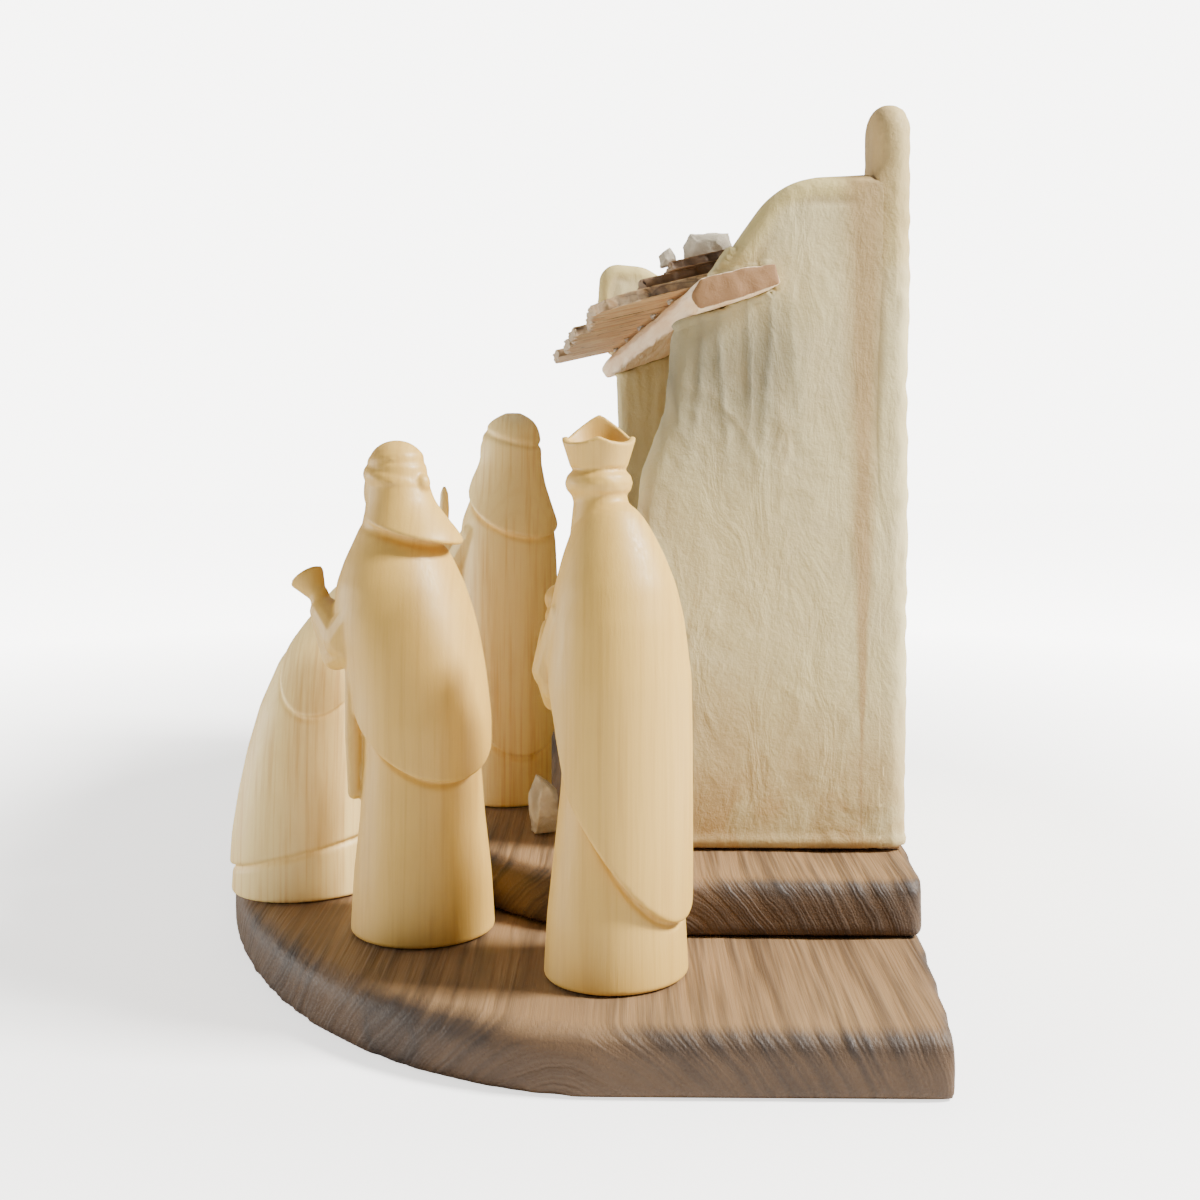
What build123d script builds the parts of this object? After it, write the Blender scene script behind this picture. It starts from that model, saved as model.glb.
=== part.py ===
from build123d import *
from math import cos, pi, radians, sin, sqrt, tan
import os

os.makedirs("parts", exist_ok=True)

# Lower base: a half-moon slab, widest on its middle line, with a bowed back edge
base_half_width = 235
base_front_depth = 150
base_side_length = 87
base_back_bow = 12
base_thickness = 18
base_edge_round = 7

# Upper step: a smaller half-moon slab that shares the base's back edge
step_half_width = 163
step_front_depth = 95
step_setback = 10
step_thickness = 18
step_edge_round = 6

# Walls: wooden cores under a skin of cloth and plaster
wall_half_span = 130
side_wall_thickness = 14
back_wall_thickness = 13
coat_thickness = 3
wall_edge_round = 5.5
right_wall_depth = 86.3
right_wall_height = 222.5
left_wall_depth = 92.3
left_wall_height = 226
back_wall_height = 246

# Front corners of the right wall, foot to top: shares of its depth, of its height, and of its depth for
# the rounding
right_corner_shares = [
    (0.878, 0.557, 0.3), (0.7775, 0.652, 0.22), (0.757, 0.7685, 0.17), (0.351, 0.9935, 0.32),
]
right_foot_share = 1.0
right_rear_share = 1.0

# Front corners of the left wall, foot to top, in the same way
left_corner_shares = [
    (0.9025, 0.504, 0.6), (0.908, 0.748, 0.2), (1.02, 0.894, 0.2), (1.0, 1.0, 0.1), (0.76, 0.989, 0.14),
    (0.63, 0.956, 0.14),
]
left_foot_share = 1.0
left_rear_share = 0.965

# Top corners of the back wall, right end to left end: shares of the half span and of its height, with the
# rounding of each corner
back_horn_round = 11
back_notch_round = 10.4
back_swell_round = 78
back_shoulder_round = 26
back_corner_shares = [
    (1.0, 1.0), (0.79, 1.0), (0.8, 0.895), (0.35, 0.883), (-0.25, 0.912), (-0.75, 0.893), (-1.0, 0.935),
]
back_corner_rounds = [
    back_horn_round, back_horn_round, back_notch_round, back_swell_round, back_swell_round,
    back_shoulder_round, back_horn_round,
]

# Roof plane: the undersides of the boards lie in it
roof_slope_angle = 12.5
roof_height = 222.5
roof_setback = 24.7
roof_side_gap = 1.5
roof_back_gap = 0.8

# Eaves beam: a flat slat, askew in the roof plane, lying in notches of both side walls
beam_length = 292
beam_width = 31
beam_front_thickness = 11
beam_back_thickness = 8.5
beam_nose = 5
beam_skew_angle = 6.4
beam_offset = 5.6
beam_edge_round = 1.6
beam_end_round = 1.2
notch_clearance = 0.3

# Rear ledger: a batten on the back wall under the boards
ledger_depth = 10
ledger_height = 12
ledger_end_gap = 4

# Roof boards, right to left
board_thickness = 4
board_gap = 0.4
board_reach = 60
board_corner_round = 34
board_edge_shares = [1.0, 0.58, 0.23, -0.16, -0.58, -1.0]
board_front_shares = [0.64, 0.67, 0.80, 0.87, 0.99]

# Shingles in two layers, right to left
shingle_gap = 0.5
lower_shingle_thickness = 3.5
lower_shingle_reach = 20
lower_shingle_edge_shares = [0.945, 0.62, 0.2, -0.18, -0.55, -0.98]
lower_shingle_front_shares = [1.0, 1.12, 0.95, 1.2, 1.05]
upper_shingle_thickness = 3
upper_shingle_reach = 10
upper_shingle_edge_shares = [0.99, 0.52, 0.26, -0.22, -0.6, -0.99]
upper_shingle_front_shares = [1.0, 1.5, 0.7, 1.3, 0.9]

# Ragged ends of boards and shingles: shares of the piece's width and of its ragged depth
ragged_depth = 3.2
ragged_end_shares = [(0.0, 0.3), (0.16, 0.0), (0.3, 0.55), (0.52, 0.2), (0.68, 0.9), (0.85, 0.45), (1.0, 1.0)]

# Glue beads under the boards, along the front of the beam
bead_radius = 2.6

# Stones: length, width and height, with places on the roof and from the step's right end and front line
stone_point_shares = [
    (-0.5, -0.3, 0.0), (0.35, -0.5, 0.0), (0.5, 0.2, 0.0), (-0.1, 0.5, 0.0), (-0.45, 0.3, 0.35),
    (-0.44, -0.38, 0.5), (0.34, -0.46, 0.55), (0.48, 0.16, 0.62), (0.08, 0.46, 0.7), (-0.34, -0.2, 1.0),
    (0.26, -0.28, 0.93), (-0.24, 0.26, 0.86),
]
large_stone_size = (15, 19, 10)
large_stone_place = (98, 8.5)
large_stone_turn_angle = 0
small_stone_size = (8, 7, 6.5)
small_stone_place = (99, -6)
small_stone_turn_angle = 200
ground_stone_size = (13, 11, 20)
ground_stone_place = (-57, 59)
ground_stone_turn_angle = 35

# Screws: countersunk, up through the step into the cores and up through the base into the step
screw_head_radius = 3.6
screw_head_height = 2.2
screw_hole_fit = 0.1
screw_recess_length = 4.2
screw_recess_width = 0.9
screw_recess_depth = 1.2
wall_screw_radius = 1.7
wall_screw_length = 40
wall_screw_inset = 22
base_screw_radius = 2
base_screw_length = 30
base_screw_half_span = 112
base_screw_depth = 46

# Figures: height, place from the step's right end and front line, and the way that they face, in degrees
# from the right end
crowned_height = 146
crowned_place = (27, 84)
crowned_facing_angle = 225
turbaned_height = 153
turbaned_place = (-11, 23)
turbaned_facing_angle = 238
hooded_height = 146
hooded_place = (-105, 42.5)
hooded_facing_angle = 238
kneeling_height = 112
kneeling_place = (-55, -23)
kneeling_facing_angle = 120

# Figure sections at even steps from the lowest to the highest level: half widths, half depths and lean,
# all as shares of the figure's height
crowned_robe_shares = (
    0.0, 0.96,
    [0.149, 0.141, 0.13, 0.12, 0.115, 0.111, 0.101, 0.077, 0.05],
    [0.138, 0.131, 0.121, 0.112, 0.107, 0.103, 0.095, 0.075, 0.052],
    [0.0, 0.0, 0.0, 0.0, 0.0, 0.0, 0.008, 0.028, 0.046],
)
crowned_cloak_shares = (
    0.1, 0.94,
    [0.153, 0.153, 0.152, 0.152, 0.148, 0.132, 0.1, 0.05],
    [0.143, 0.144, 0.143, 0.142, 0.139, 0.124, 0.094, 0.052],
    [-0.004, -0.004, -0.004, -0.004, -0.004, -0.004, -0.004, 0.0],
)
turbaned_robe_shares = (
    0.0, 0.92,
    [0.149, 0.142, 0.135, 0.13, 0.128, 0.126, 0.117, 0.082, 0.05],
    [0.148, 0.14, 0.132, 0.124, 0.118, 0.112, 0.1, 0.078, 0.052],
    [0.0, 0.0, 0.0, 0.0, 0.005, 0.023, 0.05, 0.062, 0.066],
)
turbaned_cloak_shares = (
    0.22, 0.86,
    [0.136, 0.141, 0.146, 0.146, 0.139, 0.114, 0.06],
    [0.134, 0.138, 0.139, 0.136, 0.128, 0.106, 0.062],
    [-0.003, -0.002, 0.001, 0.014, 0.038, 0.058, 0.065],
)
turbaned_scarf_shares = (
    0.72, 0.9,
    [0.131, 0.117, 0.1, 0.078, 0.062],
    [0.118, 0.11, 0.1, 0.082, 0.064],
    [0.013, 0.02, 0.029, 0.049, 0.062],
)
hooded_robe_shares = (
    0.0, 0.86,
    [0.116, 0.117, 0.119, 0.121, 0.122, 0.121, 0.113, 0.094, 0.062],
    [0.112, 0.112, 0.112, 0.112, 0.111, 0.107, 0.1, 0.087, 0.066],
    [0.0, 0.0, 0.0, 0.0, 0.0, 0.0, 0.0, 0.0, 0.004],
)
hooded_cloak_shares = (
    0.05, 0.86,
    [0.123, 0.126, 0.13, 0.131, 0.128, 0.112, 0.064],
    [0.118, 0.12, 0.121, 0.12, 0.116, 0.105, 0.068],
    [-0.004, -0.004, -0.004, -0.004, -0.003, 0.0, 0.004],
)
hooded_hood_shares = (
    0.62, 0.92,
    [0.134, 0.13, 0.12, 0.104, 0.089, 0.08, 0.076],
    [0.122, 0.119, 0.112, 0.102, 0.092, 0.086, 0.083],
    [-0.003, -0.003, -0.002, 0.0, -0.002, -0.005, -0.008],
)
kneeling_robe_shares = (
    0.0, 0.84,
    [0.2, 0.2, 0.194, 0.184, 0.168, 0.148, 0.12, 0.085],
    [0.232, 0.228, 0.223, 0.21, 0.192, 0.165, 0.13, 0.09],
    [0.0, 0.004, 0.012, 0.021, 0.03, 0.044, 0.069, 0.14],
)
kneeling_cloak_shares = (
    0.06, 0.84,
    [0.206, 0.203, 0.194, 0.178, 0.158, 0.13, 0.092],
    [0.243, 0.237, 0.225, 0.207, 0.181, 0.144, 0.1],
    [0.002, 0.008, 0.017, 0.027, 0.041, 0.066, 0.14],
)
kneeling_shawl_shares = (
    0.48, 0.87,
    [0.182, 0.174, 0.163, 0.149, 0.131, 0.112, 0.096],
    [0.205, 0.193, 0.178, 0.16, 0.14, 0.118, 0.098],
    [0.03, 0.037, 0.046, 0.06, 0.08, 0.114, 0.158],
)
gift_sleeve_shares = (
    0.5, 0.68, [0.075, 0.07, 0.05, 0.026], [0.04, 0.046, 0.038, 0.026], [0.13, 0.17, 0.205, 0.222],
)
gift_bowl_shares = (0.68, 0.75, [0.02, 0.026, 0.042], [0.02, 0.026, 0.038], [0.222, 0.23, 0.236])
crowned_sleeve_shares = (
    0.52, 0.715, [0.09, 0.088, 0.06, 0.03], [0.03, 0.04, 0.034, 0.028], [0.1, 0.13, 0.155, 0.165],
)
crowned_gift_shares = (0.715, 0.76, [0.026, 0.032, 0.026], [0.026, 0.032, 0.026], [0.165, 0.166, 0.166])
hooded_sleeve_shares = (
    0.5, 0.685, [0.075, 0.074, 0.05, 0.026], [0.03, 0.04, 0.034, 0.026], [0.09, 0.118, 0.14, 0.148],
)

# Heads and headwear, as shares of the figure's height
head_level_share = 0.95
head_lean_share = 0.05
head_width_share = 0.06
head_height_share = 0.085
hair_level_share = 0.962
hair_ring_share = 0.04
hair_roll_share = 0.026
turban_head_level_share = 0.9
turban_head_lean_share = 0.066
turban_head_width_share = 0.062
turban_head_height_share = 0.08
turban_level_share = 0.946
turban_width_share = 0.07
turban_height_share = 0.054
turban_ring_share = 0.05
turban_roll_share = 0.024
turban_roll_level_share = 0.932
turban_tilt_angle = 10
turban_knot_share = 0.018
hood_level_share = 0.913
hood_width_share = 0.076
hood_height_share = 0.087
hood_lean_share = -0.004
hood_tilt_angle = -9
kneeling_head_level_share = 0.84
kneeling_head_width_share = 0.098
kneeling_head_height_share = 0.106
kneeling_head_lean_share = 0.18

# Hems: the level on the figure's axis as a share of its height, then two angles: the way that the hem
# falls, from the figure's front, and how steeply
crowned_hem_share = 0.257
crowned_hem_angles = (-145, 43.6)
turbaned_hem_share = 0.42
turbaned_hem_angles = (150, 34)
turbaned_scarf_share = 0.814
turbaned_scarf_angles = (165, 19)
hooded_hem_share = 0.356
hooded_hem_angles = (144, 60)
hooded_cape_share = 0.83
hooded_cape_angles = (147, 55)
kneeling_hem_share = 0.13
kneeling_hem_angles = (140, 13.5)
kneeling_shawl_share = 0.84
kneeling_shawl_angles = (-112, 58)
cloak_front_share = 0.085

# Crown: a flared band with scalloped points, tallest at the front of the head, which looks aside
crown_height = 8.4
crown_front_rise = 6.8
crown_head_inset = 0.36
crown_flare = 2.3
crown_wall = 2.2
crown_point_count = 4
crown_scallop_radius = 5
crown_scallop_drop = 1.6
crown_turn_angle = -45

# Staff of the hooded figure, with a thicker rounded head
staff_radius = 1.3
staff_length = 118
staff_head_radius = 2
staff_head_length = 15
staff_forward = 23.2
staff_side = 9
staff_fit = 0.2

# One overrun for every cut, and the number of points around a carved section
overrun = 60
ring_point_count = 8

# Places worked out from the sizes above, with the origin under the middle of the base
middle_y = base_front_depth - (base_front_depth + base_side_length + base_back_bow) / 2
back_y = middle_y + base_side_length + base_back_bow
bow_radius = (base_half_width**2 + base_back_bow**2) / (2 * base_back_bow)
step_top = base_thickness + step_thickness


def back_edge_y(x):
    return back_y - bow_radius + sqrt(bow_radius**2 - x**2)


wall_back_y = back_edge_y(wall_half_span)
side_wall_back_y = wall_back_y - back_wall_thickness
roof_half_width = wall_half_span - side_wall_thickness - roof_side_gap
roof_plane = Plane(
    origin=(0, middle_y + roof_setback, roof_height),
    x_dir=(1, 0, 0),
    z_dir=(0, -sin(radians(roof_slope_angle)), cos(radians(roof_slope_angle))),
)
roof_thickness = board_thickness + lower_shingle_thickness + upper_shingle_thickness
roof_back = (side_wall_back_y - roof_back_gap - middle_y - roof_setback) / cos(radians(roof_slope_angle))
roof_back -= roof_thickness * sin(radians(roof_slope_angle))


def face_edges(block, axis):
    return block.faces().sort_by(axis)[0].edges() + block.faces().sort_by(axis)[-1].edges()


# Base and step
def half_moon(half_width, front_depth, widest_y):
    corner_y = back_edge_y(half_width)
    front = EllipticalCenterArc((0, widest_y), half_width, front_depth, 180, arc_size=180)
    right = Line((half_width, widest_y), (half_width, corner_y))
    back = ThreePointArc((half_width, corner_y), (0, back_y), (-half_width, corner_y))
    left = Line((-half_width, corner_y), (-half_width, widest_y))
    return make_face([front, right, back, left])


def slab(outline, bottom, thickness, edge_round):
    block = extrude(Plane.XY.offset(bottom) * outline, thickness)
    top_edges = block.faces().sort_by(Axis.Z)[-1].edges()
    front_edges = top_edges.sort_by(Axis.Y)[:-1]
    return fillet(front_edges, edge_round)


lower_base = slab(half_moon(base_half_width, base_front_depth, middle_y), 0, base_thickness, base_edge_round)
step_outline = half_moon(step_half_width, step_front_depth, middle_y + step_setback)
upper_step = slab(step_outline, base_thickness, step_thickness, step_edge_round)


# Roof pieces are drawn in the roof plane: x across, y up the slope, z out of the roof
beam_place = Pos(0, -beam_offset, 0) * Rot(0, 0, beam_skew_angle)


def beam_section():
    front = -beam_width / 2
    back = beam_width / 2
    return make_face(Polyline(
        (front + beam_nose, 0), (back, 0), (back, -beam_back_thickness),
        (front + beam_nose / 2, -beam_front_thickness), (front, -beam_front_thickness / 2), close=True))


def beam_length_of(section, length):
    return beam_place * extrude(Plane.YZ.offset(-length / 2) * section, length)


beam_block = beam_length_of(fillet(beam_section().vertices(), beam_edge_round), beam_length)
beam_block = fillet(face_edges(beam_block, Axis.X), beam_end_round)
eaves_beam = roof_plane.location * beam_block

# The notch takes the beam with its clearance and is open to the front
notch_section = offset(beam_section(), notch_clearance)
notch_mouth = Pos(-beam_width, 0) * Rectangle(
    2 * beam_width, beam_front_thickness + 2 * notch_clearance, align=(Align.CENTER, Align.MAX))
notch_section += Pos(0, notch_clearance) * notch_mouth
beam_notch = roof_plane.location * beam_length_of(notch_section, beam_length)


# Walls: the skin is the rounded wall less its core, and the core reaches the step
def side_wall_outline(corner_shares, foot_share, rear_share, depth, height, extra):
    foot = (side_wall_back_y - foot_share * depth, step_top - extra)
    corners = [(side_wall_back_y - y * depth, step_top + z * height) for y, z, _ in corner_shares]
    rounds = [share * depth for _, _, share in corner_shares]
    rear_top = (side_wall_back_y + extra, step_top + rear_share * height)
    rear_foot = (side_wall_back_y + extra, step_top - extra)
    front = FilletPolyline(foot, *corners, rear_top, radius=rounds)
    return make_face(front.edges() + [Line(rear_top, rear_foot), Line(rear_foot, foot)])


def side_wall(corner_shares, foot_share, rear_share, depth, height, inner_x):
    shape = (corner_shares, foot_share, rear_share, depth, height)
    block = extrude(Plane.YZ.offset(inner_x) * side_wall_outline(*shape, 0), side_wall_thickness)
    square_edges = block.faces().sort_by(Axis.Z)[0].edges() + block.faces().sort_by(Axis.Y)[-1].edges()
    round_edges = [edge for edge in face_edges(block, Axis.X) if edge not in square_edges]
    rounded = fillet(round_edges, wall_edge_round)
    core_outline = offset(side_wall_outline(*shape, coat_thickness), -coat_thickness)
    core_plane = Plane.YZ.offset(inner_x + coat_thickness)
    core = extrude(core_plane * core_outline, side_wall_thickness - 2 * coat_thickness)
    return core - beam_notch, rounded - core - beam_notch


def back_wall_outline(extra):
    right_foot = (wall_half_span, step_top - extra)
    left_foot = (-wall_half_span, step_top - extra)
    corners = [(x * wall_half_span, step_top + z * back_wall_height) for x, z in back_corner_shares]
    top = FilletPolyline(right_foot, *corners, left_foot, radius=back_corner_rounds)
    return make_face(top.edges() + [Line(left_foot, right_foot)])


def back_wall():
    # The sketch plane faces the front, so the wall grows forwards from its back face
    rear = Plane((0, wall_back_y, 0), x_dir=(1, 0, 0), z_dir=(0, -1, 0))
    block = extrude(rear * back_wall_outline(0), back_wall_thickness)
    foot_edges = block.faces().sort_by(Axis.Z)[0].edges()
    round_edges = [edge for edge in face_edges(block, Axis.Y) if edge not in foot_edges]
    rounded = fillet(round_edges, wall_edge_round)
    # The front corners stay square where the side walls butt against them
    for side, height in ((1, right_rear_share * right_wall_height), (-1, left_rear_share * left_wall_height)):
        corner = Box(wall_edge_round, wall_edge_round, height, align=(Align.CENTER, Align.MIN, Align.MIN))
        rounded += Pos(side * (wall_half_span - wall_edge_round / 2), side_wall_back_y, step_top) * corner
    core_plane = rear.offset(coat_thickness)
    core_outline = offset(back_wall_outline(coat_thickness), -coat_thickness)
    core = extrude(core_plane * core_outline, back_wall_thickness - 2 * coat_thickness)
    return core, rounded - core


right_inner_x = wall_half_span - side_wall_thickness
right_wall_core, right_wall_coat = side_wall(
    right_corner_shares, right_foot_share, right_rear_share, right_wall_depth, right_wall_height,
    right_inner_x)
left_wall_core, left_wall_coat = side_wall(
    left_corner_shares, left_foot_share, left_rear_share, left_wall_depth, left_wall_height,
    -wall_half_span)
back_wall_core, back_wall_coat = back_wall()


# Rear ledger, with its top in the roof plane
def rear_ledger_solid():
    rear_top = roof_height + (side_wall_back_y - middle_y - roof_setback) * tan(radians(roof_slope_angle))
    front_top = rear_top - ledger_depth * tan(radians(roof_slope_angle))
    foot = front_top - ledger_height
    front_y = side_wall_back_y - ledger_depth
    profile = Polyline(
        (front_y, foot), (side_wall_back_y, foot), (side_wall_back_y, rear_top), (front_y, front_top),
        close=True)
    half_length = roof_half_width - ledger_end_gap
    return extrude(Plane.YZ.offset(-half_length) * make_face(profile), 2 * half_length)


rear_ledger = rear_ledger_solid()


# Boards and shingles, each with a ragged front end
def ragged_piece(left, right, front, bottom, thickness, corner_round):
    width = right - left
    front_points = []
    for across_share, back_share in ragged_end_shares:
        front_points.append((left + across_share * width, front + back_share * ragged_depth))
    outline = make_face(Polyline(*front_points, (right, roof_back), (left, roof_back), close=True))
    if corner_round:
        quarter = Rectangle(corner_round + overrun, corner_round + overrun, align=(Align.MIN, Align.MAX))
        outline -= Pos(right - corner_round, front + corner_round) * (quarter - Circle(corner_round))
    return roof_plane.location * extrude(Plane.XY.offset(bottom) * outline, thickness)


def roof_layer(edge_shares, fronts, gap, bottom, thickness, corner_round):
    pieces = []
    for index, front in enumerate(fronts):
        right = edge_shares[index] * roof_half_width - gap / 2
        left = edge_shares[index + 1] * roof_half_width + gap / 2
        near_round = corner_round if index == 0 else 0
        pieces.append(ragged_piece(left, right, front, bottom, thickness, near_round))
    return pieces


board_fronts = [-share * board_reach for share in board_front_shares]
roof_boards = roof_layer(board_edge_shares, board_fronts, board_gap, 0, board_thickness, board_corner_round)
lower_fronts = [-share * lower_shingle_reach for share in lower_shingle_front_shares]
lower_shingles = roof_layer(
    lower_shingle_edge_shares, lower_fronts, shingle_gap, board_thickness, lower_shingle_thickness, 0)
upper_fronts = [-share * upper_shingle_reach for share in upper_shingle_front_shares]
upper_bottom = board_thickness + lower_shingle_thickness
upper_shingles = roof_layer(
    upper_shingle_edge_shares, upper_fronts, shingle_gap, upper_bottom, upper_shingle_thickness, 0)


# Glue beads in the corner between the boards and the front face of the beam
def bead_places():
    places = []
    for index in range(len(board_fronts)):
        middle_share = (board_edge_shares[index] + board_edge_shares[index + 1]) / 2
        x = middle_share * roof_half_width
        front_line = -beam_offset - (beam_width / 2 - beam_nose) / cos(radians(beam_skew_angle))
        y = front_line + x * tan(radians(beam_skew_angle))
        places.append((x, y))
    return places


beads = []
for bead_x, bead_y in bead_places():
    bead = Pos(bead_x, bead_y, 0) * Sphere(bead_radius)
    boards_over = Pos(bead_x, bead_y, bead_radius) * Box(3 * bead_radius, 3 * bead_radius, 2 * bead_radius)
    beads.append(roof_plane.location * (bead - boards_over - beam_block))
glue_beads = Compound(children=beads)


# Stones
def stone(size, turn):
    length, width, height = size
    points = [(x * length, y * width, z * height) for x, y, z in stone_point_shares]
    return Rot(0, 0, turn) * ConvexPolyhedron(points)


upper_top = upper_bottom + upper_shingle_thickness
large_stone = Pos(*large_stone_place, upper_top) * stone(large_stone_size, large_stone_turn_angle)
roof_stone_large = roof_plane.location * large_stone
small_stone = Pos(*small_stone_place, upper_top) * stone(small_stone_size, small_stone_turn_angle)
roof_stone_small = roof_plane.location * small_stone


# A place measured from the step's right end and front line
def step_spot(place, level):
    right_reach, front_reach = place
    step_front_y = middle_y + step_setback - step_front_depth
    return Pos(step_half_width + right_reach, step_front_y + front_reach, level)


ground_spot = step_spot(ground_stone_place, step_top)
ground_stone = ground_spot * stone(ground_stone_size, ground_stone_turn_angle)


# Screws with their holes
def screw(shank_radius, length, grow):
    profile = Polyline(
        (0, 0), (screw_head_radius + grow, 0), (shank_radius + grow, screw_head_height),
        (shank_radius + grow, length - 2 * shank_radius), (0, length + grow), close=True)
    return revolve(Plane.XZ * make_face(profile), Axis.Z)


core_middle_x = wall_half_span - side_wall_thickness / 2
back_core_y = wall_back_y - back_wall_thickness / 2
side_screw_ys = [side_wall_back_y - wall_screw_inset, side_wall_back_y - right_wall_depth + wall_screw_inset]
wall_screw_places = [(side * core_middle_x, y) for side in (-1, 1) for y in side_screw_ys]
back_screw_xs = [-core_middle_x + wall_screw_inset, 0, core_middle_x - wall_screw_inset]
wall_screw_places += [(x, back_core_y) for x in back_screw_xs]
base_screw_places = [(side * base_screw_half_span, middle_y + step_setback) for side in (-1, 1)]
base_screw_places += [(0, middle_y + step_setback + reach) for reach in (-base_screw_depth, base_screw_depth)]


def recessed_screw(shank_radius, length):
    bar = Box(
        screw_recess_length, screw_recess_width, screw_recess_depth,
        align=(Align.CENTER, Align.CENTER, Align.MIN))
    return screw(shank_radius, length, 0) - bar - Rot(0, 0, 90) * bar


def at_places(shape, places, bottom):
    return [Pos(x, y, bottom) * shape for x, y in places]


wall_screw = recessed_screw(wall_screw_radius, wall_screw_length)
base_screw = recessed_screw(base_screw_radius, base_screw_length)
wall_screws = Compound(children=at_places(wall_screw, wall_screw_places, base_thickness))
base_screws = Compound(children=at_places(base_screw, base_screw_places, 0))
wall_hole = screw(wall_screw_radius, wall_screw_length, screw_hole_fit)
base_hole = screw(base_screw_radius, base_screw_length, screw_hole_fit)
wall_holes = at_places(wall_hole, wall_screw_places, base_thickness)
base_holes = at_places(base_hole, base_screw_places, 0)
lower_base -= base_holes
upper_step -= base_holes + wall_holes
right_wall_core -= wall_holes
left_wall_core -= wall_holes
back_wall_core -= wall_holes


# Figures face along +X of their own frame, with +Y to their left
def carved_form(height, section_shares):
    low_share, high_share, width_shares, depth_shares, lean_shares = section_shares
    rings = []
    for index, width_share in enumerate(width_shares):
        level = (low_share + (high_share - low_share) * index / (len(width_shares) - 1)) * height
        points = []
        for turn in range(ring_point_count):
            angle = 2 * pi * turn / ring_point_count
            x = (lean_shares[index] + depth_shares[index] * cos(angle)) * height
            points.append((x, width_share * height * sin(angle), level))
        rings.append(make_face(Spline(points, periodic=True)))
    return loft(rings)


def above_hem(form, level, angles):
    fall_direction, fall = angles
    reach = level + overrun
    below = Pos(0, 0, -reach) * Box(2 * reach, 2 * reach, 2 * reach)
    return form - Pos(0, 0, level) * Rot(0, 0, fall_direction) * Rot(0, fall, 0) * below


def open_front(form, height):
    reach = height + overrun
    return form - Pos(cloak_front_share * height + reach / 2, 0, 0) * Box(reach, reach, 2 * reach)


def egg(width, height):
    half = make_face([
        EllipticalCenterArc((0, 0), width, height, -90, arc_size=180), Line((0, height), (0, -height)),
    ])
    return revolve(Plane.XZ * half, Axis.Z)


def crown():
    tall = crown_height + crown_front_rise
    foot_radius = head_width_share * crowned_height - crown_head_inset
    tall_radius = foot_radius + crown_flare * tall / crown_height
    profile = Polyline(
        (foot_radius, 0), (tall_radius, tall), (tall_radius - crown_wall, tall),
        (foot_radius - crown_wall, 0), close=True)
    band = revolve(Plane.XZ * make_face(profile), Axis.Z)
    peak = make_face(Polyline(
        (-tall_radius, 0), (tall_radius, 0), (tall_radius, crown_height), (0, tall),
        (-tall_radius, crown_height), close=True))
    front = extrude(Plane.YZ * peak, tall_radius)
    rear = Box(tall_radius, 2 * tall_radius, crown_height, align=(Align.MAX, Align.CENTER, Align.MIN))
    band &= front + rear
    scallop = Rot(0, 90, 0) * Cylinder(
        crown_scallop_radius, overrun, align=(Align.CENTER, Align.CENTER, Align.MIN))
    for index in range(crown_point_count):
        turn = 360 * (index + 1 / 2) / crown_point_count
        band -= Rot(0, 0, turn) * (Pos(0, 0, crown_height + crown_scallop_drop) * scallop)
    return Rot(0, 0, crown_turn_angle) * band


def crowned_form():
    height = crowned_height
    cloak = carved_form(height, crowned_cloak_shares)
    cloak = above_hem(cloak, crowned_hem_share * height, crowned_hem_angles)
    form = carved_form(height, crowned_robe_shares) + open_front(cloak, height)
    head = egg(head_width_share * height, head_height_share * height)
    hair = Torus(hair_ring_share * height, hair_roll_share * height)
    lean = head_lean_share * height
    form += Pos(lean, 0, head_level_share * height) * head
    form += Pos(lean, 0, hair_level_share * height) * hair
    form += carved_form(height, crowned_sleeve_shares) + carved_form(height, crowned_gift_shares)
    return form + Pos(lean, 0, height) * crown()


def turbaned_form():
    height = turbaned_height
    cloak = carved_form(height, turbaned_cloak_shares)
    cloak = open_front(above_hem(cloak, turbaned_hem_share * height, turbaned_hem_angles), height)
    scarf = carved_form(height, turbaned_scarf_shares)
    scarf = above_hem(scarf, turbaned_scarf_share * height, turbaned_scarf_angles)
    form = carved_form(height, turbaned_robe_shares) + cloak + scarf
    lean = turban_head_lean_share * height
    head = egg(turban_head_width_share * height, turban_head_height_share * height)
    form += Pos(lean, 0, turban_head_level_share * height) * head
    turban = egg(turban_width_share * height, turban_height_share * height)
    form += Pos(lean, 0, turban_level_share * height) * turban
    wrap = Rot(0, turban_tilt_angle, 0) * Torus(turban_ring_share * height, turban_roll_share * height)
    form += Pos(lean, 0, turban_roll_level_share * height) * wrap
    knot_x = lean - (turban_ring_share + turban_roll_share) * height
    form += Pos(knot_x, 0, turban_level_share * height) * Sphere(turban_knot_share * height)
    return form + carved_form(height, gift_sleeve_shares) + carved_form(height, gift_bowl_shares)


def hooded_form():
    height = hooded_height
    cloak = above_hem(carved_form(height, hooded_cloak_shares), hooded_hem_share * height, hooded_hem_angles)
    cape = above_hem(carved_form(height, hooded_hood_shares), hooded_cape_share * height, hooded_cape_angles)
    form = carved_form(height, hooded_robe_shares) + open_front(cloak, height) + cape
    crest = egg(hood_width_share * height, hood_height_share * height)
    form += Pos(hood_lean_share * height, 0, hood_level_share * height) * Rot(0, hood_tilt_angle, 0) * crest
    return form + carved_form(height, hooded_sleeve_shares)


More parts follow.
